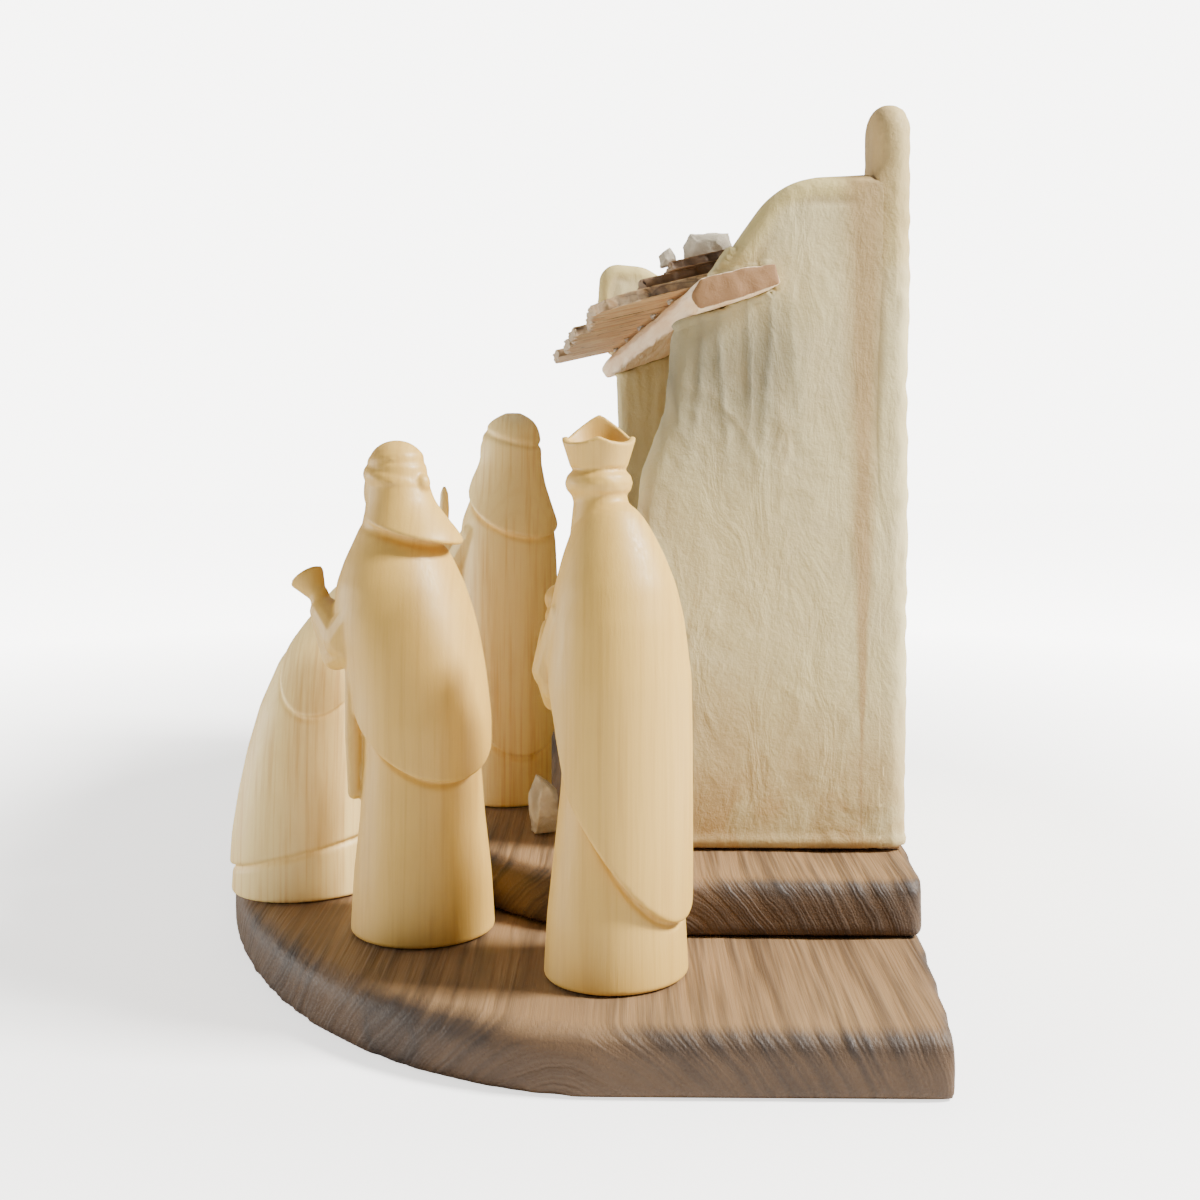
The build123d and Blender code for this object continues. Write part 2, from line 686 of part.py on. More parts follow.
def kneeling_form():
    height = kneeling_height
    cloak = carved_form(height, kneeling_cloak_shares)
    cloak = above_hem(cloak, kneeling_hem_share * height, kneeling_hem_angles)
    shawl = carved_form(height, kneeling_shawl_shares)
    shawl = above_hem(shawl, kneeling_shawl_share * height, kneeling_shawl_angles)
    form = carved_form(height, kneeling_robe_shares) + cloak + shawl
    head = egg(kneeling_head_width_share * height, kneeling_head_height_share * height)
    return form + Pos(kneeling_head_lean_share * height, 0, kneeling_head_level_share * height) * head


def stand(form, place, floor, facing):
    return step_spot(place, floor) * Rot(0, 0, facing) * form


staff_spot = Pos(staff_forward, staff_side, 0)
staff_head_level = staff_length - staff_head_radius
staff_crest = (staff_head_radius * cos(pi / 4), staff_head_level + staff_head_radius * sin(pi / 4))
staff_profile = make_face([
    Polyline(
        (0, staff_length), (0, 0), (staff_radius, 0), (staff_radius, staff_length - staff_head_length),
        (staff_head_radius, staff_head_level)),
    ThreePointArc((staff_head_radius, staff_head_level), staff_crest, (0, staff_length)),
])
staff_rod = staff_spot * revolve(Plane.XZ * staff_profile, Axis.Z)
staff_hole = staff_spot * Cylinder(
    staff_radius + staff_fit, staff_length, align=(Align.CENTER, Align.CENTER, Align.MIN))
crowned_figure = stand(crowned_form(), crowned_place, base_thickness, crowned_facing_angle)
turbaned_figure = stand(turbaned_form(), turbaned_place, base_thickness, turbaned_facing_angle)
hooded_figure = stand(hooded_form() - staff_hole, hooded_place, step_top, hooded_facing_angle)
hooded_staff = stand(staff_rod, hooded_place, step_top, hooded_facing_angle)
kneeling_figure = stand(kneeling_form(), kneeling_place, base_thickness, kneeling_facing_angle)

# One file for each piece
nodes = {
    "lower_base": lower_base,
    "upper_step": upper_step,
    "right_wall_core": right_wall_core,
    "right_wall_coat": right_wall_coat,
    "left_wall_core": left_wall_core,
    "left_wall_coat": left_wall_coat,
    "back_wall_core": back_wall_core,
    "back_wall_coat": back_wall_coat,
    "eaves_beam": eaves_beam,
    "rear_ledger": rear_ledger,
    "glue_beads": glue_beads,
    "roof_stone_large": roof_stone_large,
    "roof_stone_small": roof_stone_small,
    "ground_stone": ground_stone,
    "wall_screws": wall_screws,
    "base_screws": base_screws,
    "crowned_figure": crowned_figure,
    "turbaned_figure": turbaned_figure,
    "hooded_figure": hooded_figure,
    "hooded_staff": hooded_staff,
    "kneeling_figure": kneeling_figure,
}
for number, piece in enumerate(roof_boards, start=1):
    nodes[f"roof_board_{number}"] = piece
for number, piece in enumerate(lower_shingles, start=1):
    nodes[f"lower_shingle_{number}"] = piece
for number, piece in enumerate(upper_shingles, start=1):
    nodes[f"upper_shingle_{number}"] = piece

for name, shape in nodes.items():
    export_step(shape, f"parts/{name}.step")
    print(name, round(shape.volume, 1))
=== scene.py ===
# %% [markdown]
# # A nativity stable with loose carved figures
# The real object is a half-round wooden base with a step, three plastered walls under a slanted roof of
# split boards and shingles, a few broken stones, and carved figures that stand loose in front. The packed
# model already holds every piece at its real size and place. This lesson dresses those pieces: it gives
# them the skin, the carving and the finish that the eye expects, and it never moves them.

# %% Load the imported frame
import math

import bmesh
import bpy
import numpy as np
from mathutils import Matrix, Vector, noise
from mathutils.kdtree import KDTree


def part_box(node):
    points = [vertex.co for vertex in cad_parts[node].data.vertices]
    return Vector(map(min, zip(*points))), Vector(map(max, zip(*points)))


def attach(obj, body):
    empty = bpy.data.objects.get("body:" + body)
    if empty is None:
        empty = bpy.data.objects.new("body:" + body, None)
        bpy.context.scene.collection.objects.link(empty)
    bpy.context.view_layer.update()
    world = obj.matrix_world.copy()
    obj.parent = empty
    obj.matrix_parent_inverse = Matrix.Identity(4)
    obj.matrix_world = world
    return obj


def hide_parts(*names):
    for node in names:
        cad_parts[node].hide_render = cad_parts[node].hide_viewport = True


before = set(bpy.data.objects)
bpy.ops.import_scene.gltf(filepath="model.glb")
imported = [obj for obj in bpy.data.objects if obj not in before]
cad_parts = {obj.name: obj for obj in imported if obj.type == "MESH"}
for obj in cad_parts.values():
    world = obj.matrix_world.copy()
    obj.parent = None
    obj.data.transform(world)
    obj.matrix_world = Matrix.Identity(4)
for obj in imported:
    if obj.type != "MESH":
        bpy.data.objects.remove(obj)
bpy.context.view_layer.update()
mm = 0.001

# %% [markdown]
# ## Tools for shaping
# Three small tools make most of the pieces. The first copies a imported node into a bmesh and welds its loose
# triangles. The second is the voxel remesh: it fuses overlapping closed shells into one even skin, the way
# that a carved or plastered piece is one skin, and it gives enough points to press detail into. The third
# pushes the points of that skin in and out along their normals.

# %% Copy, fuse and push
def welded_copy(*nodes):
    copy = bmesh.new()
    for node in nodes:
        copy.from_mesh(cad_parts[node].data)
    bmesh.ops.remove_doubles(copy, verts=copy.verts, dist=0.001 * mm)
    return copy


def even_skin(rough, voxel, smooth_rounds):
    mesh = bpy.data.meshes.new("rough")
    rough.to_mesh(mesh)
    rough.free()
    holder = bpy.data.objects.new("rough", mesh)
    bpy.context.scene.collection.objects.link(holder)
    remesh = holder.modifiers.new("even skin", "REMESH")
    remesh.mode = "VOXEL"
    remesh.voxel_size = voxel
    evaluated = holder.evaluated_get(bpy.context.evaluated_depsgraph_get())
    fused = bpy.data.meshes.new_from_object(evaluated)
    bpy.data.objects.remove(holder)
    skin = bmesh.new()
    skin.from_mesh(fused)
    for _ in range(smooth_rounds):
        bmesh.ops.smooth_vert(
            skin, verts=skin.verts, factor=0.5, use_axis_x=True, use_axis_y=True, use_axis_z=True)
    skin.normal_update()
    return skin


def push(skin, depth_at):
    moves = [vertex.normal * depth_at(vertex.co) for vertex in skin.verts]
    for vertex, move in zip(skin.verts, moves):
        vertex.co += move
    skin.normal_update()


def soft_step(value):
    value = np.clip(value, 0.0, 1.0)
    return value * value * (3 - 2 * value)


# %% [markdown]
# A finished piece sits at the origin with its place in its mesh, rides on the body that carries it, and
# hides the imported nodes that it stands for. One function does all of that, so no piece forgets a step.

# %% Finish a piece
pieces = []


def finish_piece(name, skin, finish, body, nodes):
    mesh = bpy.data.meshes.new(name)
    skin.to_mesh(mesh)
    skin.free()
    mesh.polygons.foreach_set("use_smooth", [True] * len(mesh.polygons))
    mesh.materials.append(finish)
    piece = bpy.data.objects.new(name, mesh)
    bpy.context.scene.collection.objects.link(piece)
    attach(piece, body)
    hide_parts(*nodes)
    pieces.append(piece)
    print(name, len(mesh.polygons), "faces")
    return piece


def dress_node(node, finish):
    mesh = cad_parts[node].data
    mesh.materials.clear()
    mesh.materials.append(finish)


# %% [markdown]
# ## Finishes
# Every finish is a node material on Object coordinates, in metres, so the grain runs through the piece like
# real grain and a cut shows the same growth rings as the face beside it. A few helpers keep the node trees
# short: each adds one node, links its inputs and returns its output.

# %% Node helpers
class Finish:
    def __init__(self, name):
        self.material = bpy.data.materials.new(name)
        self.material.use_nodes = True
        self.nodes = self.material.node_tree.nodes
        self.links = self.material.node_tree.links
        self.shader = self.nodes["Principled BSDF"]
        self.place = self.nodes.new("ShaderNodeTexCoord").outputs["Object"]

    def node(self, kind, inputs=None, **settings):
        made = self.nodes.new(kind)
        for key, value in settings.items():
            setattr(made, key, value)
        for key, value in (inputs or {}).items():
            if isinstance(value, bpy.types.NodeSocket):
                self.links.new(value, made.inputs[key])
            else:
                made.inputs[key].default_value = value
        return made

    def mapped(self, scale, turn=(0, 0, 0), shift=(0, 0, 0)):
        inputs = {"Vector": self.place, "Scale": scale, "Rotation": turn, "Location": shift}
        return self.node("ShaderNodeMapping", inputs).outputs["Vector"]

    def noise(self, vector, scale, detail=4.0, roughness=0.55, distortion=0.0):
        inputs = {"Vector": vector, "Scale": scale, "Detail": detail, "Roughness": roughness,
                  "Distortion": distortion}
        return self.node("ShaderNodeTexNoise", inputs).outputs["Fac"]

    def ramp(self, value, stops):
        made = self.node("ShaderNodeValToRGB", {"Fac": value})
        ramp = made.color_ramp
        while len(ramp.elements) < len(stops):
            ramp.elements.new(0.5)
        for element, (position, level) in zip(ramp.elements, stops):
            element.position = position
            element.color = (level, level, level, 1)
        return made.outputs["Color"]

    def math(self, operation, first, second=0.5):
        return self.node("ShaderNodeMath", {0: first, 1: second}, operation=operation).outputs[0]

    def mix(self, share, first, second):
        made = self.node("ShaderNodeMix", {0: share, 6: first, 7: second}, data_type="RGBA")
        return made.outputs[2]

    def bump(self, height, distance):
        inputs = {"Height": height, "Distance": distance, "Strength": 1.0}
        return self.node("ShaderNodeBump", inputs).outputs["Normal"]

    def done(self, colour, roughness, normal):
        self.links.new(colour, self.shader.inputs["Base Color"])
        if isinstance(roughness, float):
            self.shader.inputs["Roughness"].default_value = roughness
        else:
            self.links.new(roughness, self.shader.inputs["Roughness"])
        self.links.new(normal, self.shader.inputs["Normal"])
        return self.material


def linear(value):
    value = value / 255
    return value / 12.92 if value <= 0.04045 else ((value + 0.055) / 1.055) ** 2.4


def colour4(red, green, blue):
    return linear(red), linear(green), linear(blue), 1


# %% [markdown]
# ### Brushed, scorched softwood
# The base and the step are softwood, scorched and brushed so that the soft early wood is worn away and the
# hard late wood stands up. Growth rings are circles about an axis along X. A noise that is read by the
# distance from that axis gives uneven rings: straight streaks on the top and arcs on the ends. A broad
# noise says where the scorching went deep, and it goes deepest on the rounded edges. The base also has one
# knot.

# %% Brushed softwood
def brushed_softwood(name, heart, ring_gap, knot):
    finish = Finish(name)
    slow = finish.noise(finish.mapped((0.12, 1, 1)), 18, 2, 0.5)
    quick = finish.noise(finish.mapped((0.08, 1, 1)), 190, 2, 0.5)
    from_heart = finish.mapped((0, 1, 1), shift=(0, -heart[0], -heart[1]))
    radius = finish.node("ShaderNodeVectorMath", {0: from_heart}, operation="LENGTH").outputs["Value"]
    radius = finish.math("ADD", radius, finish.math("MULTIPLY", slow, 16 * mm))
    radius = finish.math("ADD", radius, finish.math("MULTIPLY", quick, 1.5 * mm))
    along = finish.node("ShaderNodeSeparateXYZ", {0: finish.mapped((0.03, 1, 1))}).outputs["X"]
    across_rings = finish.node("ShaderNodeCombineXYZ", {"X": radius, "Y": along}).outputs[0]
    late = finish.ramp(finish.noise(across_rings, 0.9 / ring_gap, 2, 0.7), [(0.40, 0.0), (0.66, 1.0)])
    fibres = finish.noise(finish.mapped((0.02, 1, 1)), 1400, 3, 0.6)
    cloud = finish.noise(finish.mapped((0.3, 1, 1)), 26, 3, 0.55)
    patch = finish.noise(finish.mapped((0.6, 1, 1), shift=(0.3, 0.1, 0)), 21, 3, 0.5)
    scorch = finish.ramp(patch, [(0.39, 0.0), (0.53, 1.0)])
    normal = finish.node("ShaderNodeNewGeometry").outputs["Normal"]
    upward = finish.node("ShaderNodeSeparateXYZ", {0: normal}).outputs["Z"]
    # Faces that do not look up turn darker brown: partly the darker sides and end grain of the slab, partly a
    # painted shade where they turn from the light.
    side = finish.ramp(upward, [(0.0, 1.0), (0.5, 0.9), (0.9, 0.3), (1.0, 0.0)])
    rounding = finish.ramp(upward, [(0.05, 0.25), (0.35, 0.9), (0.8, 1.0), (0.985, 0.2), (1.0, 0.08)])
    pale = finish.mix(cloud, colour4(*base_pale), colour4(*base_brown))
    pale = finish.mix(finish.math("MULTIPLY", fibres, 0.45), pale, colour4(118, 86, 56))
    pale = finish.mix(finish.math("MULTIPLY", side, 0.85), pale, colour4(76, 53, 31))
    shown = finish.math("ADD", finish.math("MULTIPLY", scorch, 0.45), 0.25)
    colour = finish.mix(finish.math("MULTIPLY", late, shown), pale, colour4(62, 44, 28))
    burnt = finish.math("MULTIPLY", scorch, rounding)
    burnt = finish.math("MULTIPLY", burnt, finish.math("ADD", finish.math("MULTIPLY", late, 0.45), 0.5))
    colour = finish.mix(burnt, colour, colour4(36, 24, 14))
    if knot is not None:
        centre, reach = knot
        spot = finish.mapped((1, 1, 1.2), shift=(-centre[0], -centre[1], -1.2 * centre[2]))
        off = finish.node("ShaderNodeVectorMath", {0: spot}, operation="LENGTH").outputs["Value"]
        off = finish.math("ADD", off, finish.math("MULTIPLY", quick, 3 * mm))
        inside = finish.ramp(
            finish.math("DIVIDE", off, reach), [(0.0, 0.55), (0.5, 0.55), (0.72, 0.95), (1.2, 0.0)])
        colour = finish.mix(inside, colour, colour4(50, 36, 24))
    height = finish.math("ADD", finish.math("MULTIPLY", late, 0.7), finish.math("MULTIPLY", fibres, 0.5))
    roughness = finish.ramp(fibres, [(0.2, 0.5), (0.8, 0.72)])
    return finish.done(colour, roughness, finish.bump(height, 0.4 * mm))


base_pale = (160, 130, 90)
base_brown = (122, 94, 62)
knot_place = (213 * mm, -38 * mm, 8 * mm)
base_finish = brushed_softwood("brushed_softwood_base", (0.01, -0.02), 3.0 * mm, (knot_place, 15 * mm))
step_finish = brushed_softwood("brushed_softwood_step", (0.03, 0.0), 2.5 * mm, None)

# %% [markdown]
# ### Plaster on cloth
# The walls have a skin of cloth laid in plaster, rubbed with a thin brown wash. The wash stays where the
# plaster is rough: in the creases, along the top edge, near the foot and in a run down the back joint.
# Under the beam the skin is painted grey, a painted shadow of the beam. The crease and rim masks and the
# mask of that painted shadow come from the shape itself, as attributes that the wall stores while its
# wrinkles are pressed in.

# %% Plaster on cloth
wall_foot_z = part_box("upper_step")[1].z
wall_back_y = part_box("back_wall_coat")[1].y
joint_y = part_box("back_wall_coat")[0].y


def plaster_on_cloth(name):
    finish = Finish(name)
    broad = finish.noise(finish.place, 12, 4, 0.6, 0.6)
    blotch = finish.noise(finish.place, 42, 5, 0.65, 0.4)
    streak = finish.noise(finish.mapped((1, 1, 0.15)), 130, 4, 0.6, 0.5)
    fine = finish.noise(finish.place, 700, 4, 0.7)
    grit = finish.noise(finish.place, 210, 3, 0.6)
    crease = finish.node("ShaderNodeAttribute", attribute_name="crease").outputs["Fac"]
    rim = finish.node("ShaderNodeAttribute", attribute_name="rim").outputs["Fac"]
    split = finish.node("ShaderNodeSeparateXYZ", {0: finish.place}).outputs

    def between(value, low, high, at_low, at_high):
        made = finish.node("ShaderNodeMapRange", {"Value": value, "From Min": low, "From Max": high,
                                                  "To Min": at_low, "To Max": at_high})
        return made.outputs[0]

    foot = between(split["Z"], wall_foot_z, wall_foot_z + 62 * mm, 1.0, 0.0)
    high = between(split["Z"], wall_foot_z + 170 * mm, wall_foot_z + 205 * mm, 0.0, 1.0)
    half_wide = between(split["Z"], wall_foot_z + 40 * mm, wall_foot_z + 215 * mm, 1.5 * mm, 11 * mm)
    off_joint = finish.math("ABSOLUTE", finish.math("SUBTRACT", split["Y"], joint_y - 3 * mm))
    off_joint = finish.math("ADD", off_joint, finish.math("MULTIPLY", streak, 5 * mm))
    run_down = finish.math("DIVIDE", finish.math("SUBTRACT", off_joint, 2.5 * mm), half_wide)
    run_down = finish.ramp(run_down, [(0.25, 0.8), (0.95, 0.0)])
    cream = finish.mix(broad, colour4(218, 204, 158), colour4(192, 174, 116))
    wash = finish.math("MULTIPLY", finish.ramp(blotch, [(0.46, 0.0), (0.68, 1.0)]), 0.35)
    cream = finish.mix(wash, cream, colour4(202, 186, 146))
    band = finish.math("MULTIPLY", finish.math("MULTIPLY", rim, high), 0.85)
    cream = finish.mix(band, cream, colour4(198, 178, 114))
    past_joint = between(split["Y"], joint_y - 1 * mm, joint_y + 3 * mm, 0.0, 0.75)
    cream = finish.mix(finish.math("MULTIPLY", past_joint, high), cream, colour4(178, 154, 102))
    # Painted shadow of the beam: the plaster turns grey below it.
    shade = finish.node("ShaderNodeAttribute", attribute_name="beam_shadow_zone").outputs["Fac"]
    cream = finish.mix(finish.math("MULTIPLY", shade, 0.95), cream, colour4(112, 106, 84))
    foot_wash = finish.math("MULTIPLY", foot, finish.ramp(blotch, [(0.34, 0.2), (0.6, 0.95)]))
    cream = finish.mix(foot_wash, cream, colour4(174, 138, 84))
    cream = finish.mix(run_down, cream, colour4(170, 138, 90))
    colour = finish.mix(finish.math("MULTIPLY", crease, 0.55), cream, colour4(164, 138, 92))
    roughness = finish.ramp(fine, [(0.3, 0.66), (0.7, 0.86)])
    brushed = finish.noise(finish.mapped((1, 1, 0.4)), 75, 4, 0.6, 0.8)
    height = finish.math("ADD", fine, finish.math("MULTIPLY", grit, 1.6))
    height = finish.math("ADD", height, finish.math("MULTIPLY", brushed, 5.0))
    return finish.done(colour, roughness, finish.bump(height, 0.17 * mm))


plaster_finish = plaster_on_cloth("plaster_on_cloth")

# %% [markdown]
# ### Carved hardwood
# The figures are pale, close-grained hardwood with its grain upright. Growth layers are sheets, so their
# noise changes fast along Y alone and draws thin upright lines, also where a shoulder slopes. Fine fibres
# and a faint ring wave lie over them. The surface is sanded and left bare. Two of the figures show more
# grain, and their copy of the wood is painted paler: painted light for the brighter light they get.

# %% Carved hardwood
def carved_hardwood(name, pale, dark, grain_strength):
    finish = Finish(name)
    upright = finish.mapped((1, 1, 0.03))
    fibres = finish.noise(upright, 1300, 3, 0.6)
    sheets = finish.mapped((0.1, 1, 0.03))
    streaks = finish.noise(sheets, 620, 3, 0.6, 0.2)
    rings = finish.node(
        "ShaderNodeTexWave",
        {"Vector": finish.mapped((1, 1, 0.05), shift=(0.03, 0.05, 0)), "Scale": 120.0, "Distortion": 2.5,
         "Detail": 2.0, "Detail Scale": 0.4},
        wave_type="RINGS", rings_direction="Z").outputs["Fac"]
    lines = finish.math("MULTIPLY", finish.ramp(streaks, [(0.46, 0.0), (0.72, 1.0)]), grain_strength)
    ringed = finish.math("MULTIPLY", finish.ramp(rings, [(0.6, 0.0), (1.0, 1.0)]), 0.14 * grain_strength)
    colour = finish.mix(finish.math("MAXIMUM", lines, ringed), pale, dark)
    colour = finish.mix(finish.math("MULTIPLY", fibres, 0.14), colour, dark)
    roughness = finish.ramp(fibres, [(0.3, 0.42), (0.7, 0.58)])
    return finish.done(colour, roughness, finish.bump(fibres, 0.05 * mm))


pale_carving = carved_hardwood("carved_hardwood", colour4(212, 172, 86), colour4(182, 136, 58), 0.4)
# This copy is paler as painted light, besides its stronger grain.
grained_painted_light_carving = carved_hardwood(
    "carved_hardwood_grained_painted_light", colour4(255, 226, 150), colour4(214, 164, 90), 0.6)

# %% [markdown]
# ### Split wood of the roof
# Boards and shingles are split, not sawn, so their faces follow the fibres. The grain runs up the slope.
# The front ends are weathered grey and the near sides are painted dark, a painted shade: each piece stores
# both as attributes, and the finish follows them. The beam is the same wood with its grain along X and
# without cracks, browned at its ends.

# %% Split wood
roof_slope = math.radians(12.5)


def split_wood(name, stretch, pale, brown, dark, grey, end_share, crack_share):
    finish = Finish(name)
    along = finish.mapped(stretch, turn=(roof_slope, 0, 0))
    fibres = finish.noise(along, 900, 4, 0.65)
    bands = finish.noise(along, 230, 4, 0.6, 0.5)
    stripes = finish.ramp(bands, [(0.4, 0.0), (0.64, 1.0)])
    cracks = finish.ramp(finish.noise(along, 110, 2, 0.5), [(0.485, 0.0), (0.5, 1.0), (0.515, 0.0)])
    dark_ends_and_shaded_sides = finish.node("ShaderNodeAttribute", attribute_name="end_grain_and_side_shade").outputs["Fac"]
    weathered = finish.node("ShaderNodeAttribute", attribute_name="weathered").outputs["Fac"]
    patch = finish.noise(finish.place, 220, 3, 0.6)
    colour = finish.mix(stripes, pale, brown)
    colour = finish.mix(finish.math("MULTIPLY", fibres, 0.5), colour, brown)
    cracks = finish.math("MULTIPLY", cracks, crack_share)
    colour = finish.mix(cracks, colour, dark)
    ends = finish.math("MULTIPLY", finish.ramp(patch, [(0.2, 0.55), (0.6, 1.0)]), end_share)
    # The beam's ends are browned end grain; on boards and shingles the near sides are painted dark, a painted
    # shade.
    colour = finish.mix(finish.math("MULTIPLY", dark_ends_and_shaded_sides, ends), colour, dark)
    colour = finish.mix(finish.math("MULTIPLY", weathered, ends), colour, grey)
    height = finish.math("ADD", fibres, finish.math("SUBTRACT", stripes, cracks))
    height = finish.math("MULTIPLY", height, finish.ramp(dark_ends_and_shaded_sides, [(0.0, 1.0), (1.0, 0.25)]))
    return finish.done(colour, 0.68, finish.bump(height, 0.3 * mm))


up_slope = (1, 0.04, 1)
board_finish = split_wood(
    "split_board", up_slope, colour4(252, 224, 176), colour4(218, 170, 116), colour4(58, 42, 32),
    colour4(170, 156, 134), 0.9, 0.5)
shingle_finish = split_wood(
    "split_shingle", up_slope, colour4(190, 152, 112), colour4(138, 106, 76), colour4(74, 58, 45),
    colour4(132, 114, 92), 0.9, 0.5)
beam_finish = split_wood(
    "split_beam", (0.04, 1, 1), colour4(254, 232, 196), colour4(236, 202, 158), colour4(142, 104, 64),
    colour4(190, 160, 124), 1.5, 0.0)
panel_finish = split_wood(
    "sawn_panel", (0.05, 1, 1), colour4(205, 172, 128), colour4(176, 140, 98), colour4(150, 118, 84),
    colour4(176, 140, 98), 0.2, 0.2)

# %% [markdown]
# ### Stone, glue and screws
# Three small finishes complete the set: a pale broken stone with speckles and dirty hollows, glossy beads
# of set glue, and zinc-plated steel for the screws under the base.

# %% Stone, glue and steel
def broken_stone(name):
    finish = Finish(name)
    speckle = finish.noise(finish.place, 900, 4, 0.7)
    cloud = finish.noise(finish.place, 160, 4, 0.6, 0.5)
    crease = finish.node("ShaderNodeAttribute", attribute_name="crease").outputs["Fac"]
    colour = finish.mix(cloud, colour4(246, 240, 224), colour4(214, 202, 176))
    colour = finish.mix(finish.math("MULTIPLY", speckle, 0.35), colour, colour4(178, 162, 130))
    colour = finish.mix(finish.math("MULTIPLY", crease, 0.7), colour, colour4(122, 106, 80))
    return finish.done(colour, 0.82, finish.bump(speckle, 0.35 * mm))


def clear_glue(name):
    finish = Finish(name)
    cloud = finish.noise(finish.place, 400, 3, 0.5)
    colour = finish.mix(cloud, colour4(246, 240, 228), colour4(206, 188, 156))
    finish.shader.inputs["Transmission Weight"].default_value = 0.55
    finish.shader.inputs["IOR"].default_value = 1.47
    return finish.done(colour, 0.12, finish.bump(cloud, 0.1 * mm))


def zinc_steel(name):
    finish = Finish(name)
    crystals = finish.node(
        "ShaderNodeTexVoronoi", {"Vector": finish.place, "Scale": 900.0}).outputs["Color"]
    grey = finish.node("ShaderNodeRGBToBW", {0: crystals}).outputs[0]
    colour = finish.mix(grey, colour4(198, 199, 196), colour4(164, 166, 166))
    finish.shader.inputs["Metallic"].default_value = 1.0
    return finish.done(colour, finish.ramp(grey, [(0.0, 0.3), (1.0, 0.45)]), finish.bump(grey, 0.02 * mm))


stone_finish = broken_stone("broken_stone")
glue_finish = clear_glue("clear_glue")
steel_finish = zinc_steel("zinc_steel")
for node in ("wall_screws", "base_screws"):
    dress_node(node, steel_finish)
for node in ("right_wall_core", "left_wall_core", "back_wall_core", "rear_ledger"):
    dress_node(node, panel_finish)
print("finishes", len(bpy.data.materials))

# %% [markdown]
# ## The base and the step
# Both are thick slabs whose edges were rounded by hand and then brushed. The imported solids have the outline
# and the rounding. An even skin over them lets the edge wander a little, so the light catches it unevenly,
# as it does on brushed wood. The finest grain stays in the finish, because it is thinner than a voxel.

# %% Brushed slabs
def brushed_slab(node, voxel, finish):
    skin = even_skin(welded_copy(node), voxel, 6)
    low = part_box(node)[0]

    def wear(place):
        swell = noise.noise(Vector((place.x * 14, place.y * 26, place.z * 30)))
        ridge = noise.noise(Vector((place.x * 9, place.y * 190, place.z * 190)))
        above_foot = float(soft_step((place.z - low.z) / (6 * mm)))
        return above_foot * (-0.5 + 0.5 * swell + 0.3 * ridge) * 0.8 * mm

    push(skin, wear)
    return finish_piece(node + "_wood", skin, finish, "stable", [node])


brushed_slab("lower_base", 2.0 * mm, base_finish)
brushed_slab("upper_step", 1.7 * mm, step_finish)

# %% [markdown]
# ## The plastered walls
# Wet cloth pulled over a board wrinkles in long soft ridges with sharp valleys. Ridged noise makes such
# lines: it is highest where a noise crosses zero. A second noise bends the lines first, so that they
# wander, and a third fades them out over parts of the wall. Folds hang under the beam, and a broken valley
# follows the top edge, at a steady distance that a KD tree of the edge's points gives. The skin swells
# round the beam, so no slit shows there, and each side wall gets a small lip that covers its joint with the
# back wall. Blender starts its vector noise from the clock, so the seed is set first, and every run presses
# the same wrinkles.

# %% Plastered walls
noise.seed_set(7)


def wrinkle(place):
    spot = place / (19 * mm)
    bent = spot + 0.8 * noise.noise_vector(spot * 0.7)
    line = 1 - abs(noise.noise(Vector((bent.x, bent.y * 1.2, bent.z * 0.75))))
    small = 1 - abs(noise.noise(bent * 2.6))
    present = float(soft_step(0.3 + 1.3 * noise.noise(place / (45 * mm) + Vector((7, 0, 3)))))
    swell = noise.noise(place / (40 * mm))
    lump = noise.noise(place / (11 * mm))
    crease = present * line ** 14
    return 0.5 * swell + 0.26 * lump + 0.6 * crease + 0.35 * present * small ** 8, crease


# Returns the zone below the beam, where folds hang and the beam's shadow is painted, and the fold lines.
def hanging_fold(place, front_y, beam_z):
    below = math.exp(-(((place.z - beam_z + 8 * mm) / (30 * mm)) ** 2))
    ahead = float(1 - soft_step((place.y - front_y - 52 * mm) / (18 * mm)))
    fold = 1 - abs(noise.noise(Vector((place.x / mm * 0.02, place.y / (8 * mm), place.z / (70 * mm)))))
    return below * ahead, fold ** 5


def rim_distances(skin, flat_axis, back_limit):
    beam_low, beam_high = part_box("eaves_beam")
    rim = [vertex.co for vertex in skin.verts
           if abs(vertex.normal[flat_axis]) < 0.5 and vertex.normal.z > -0.4 and vertex.co.y < back_limit
           and not beam_low.z - 6 * mm < vertex.co.z < beam_high.z + 6 * mm]
    tree = KDTree(len(rim))
    for index, place in enumerate(rim):
        tree.insert(place, index)
    tree.balance()
    return [tree.find(vertex.co)[2] for vertex in skin.verts]


def wall_lip(wall, side, height):
    low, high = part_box(side + "_wall_coat")
    depth = 12 * mm
    sunk = 5 * mm
    spot = Matrix.Translation(((low.x + high.x) / 2, joint_y + sunk - depth / 2, low.z + height / 2))
    bmesh.ops.create_cube(wall, size=1, matrix=spot @ Matrix.Diagonal((high.x - low.x, depth, height, 1)))


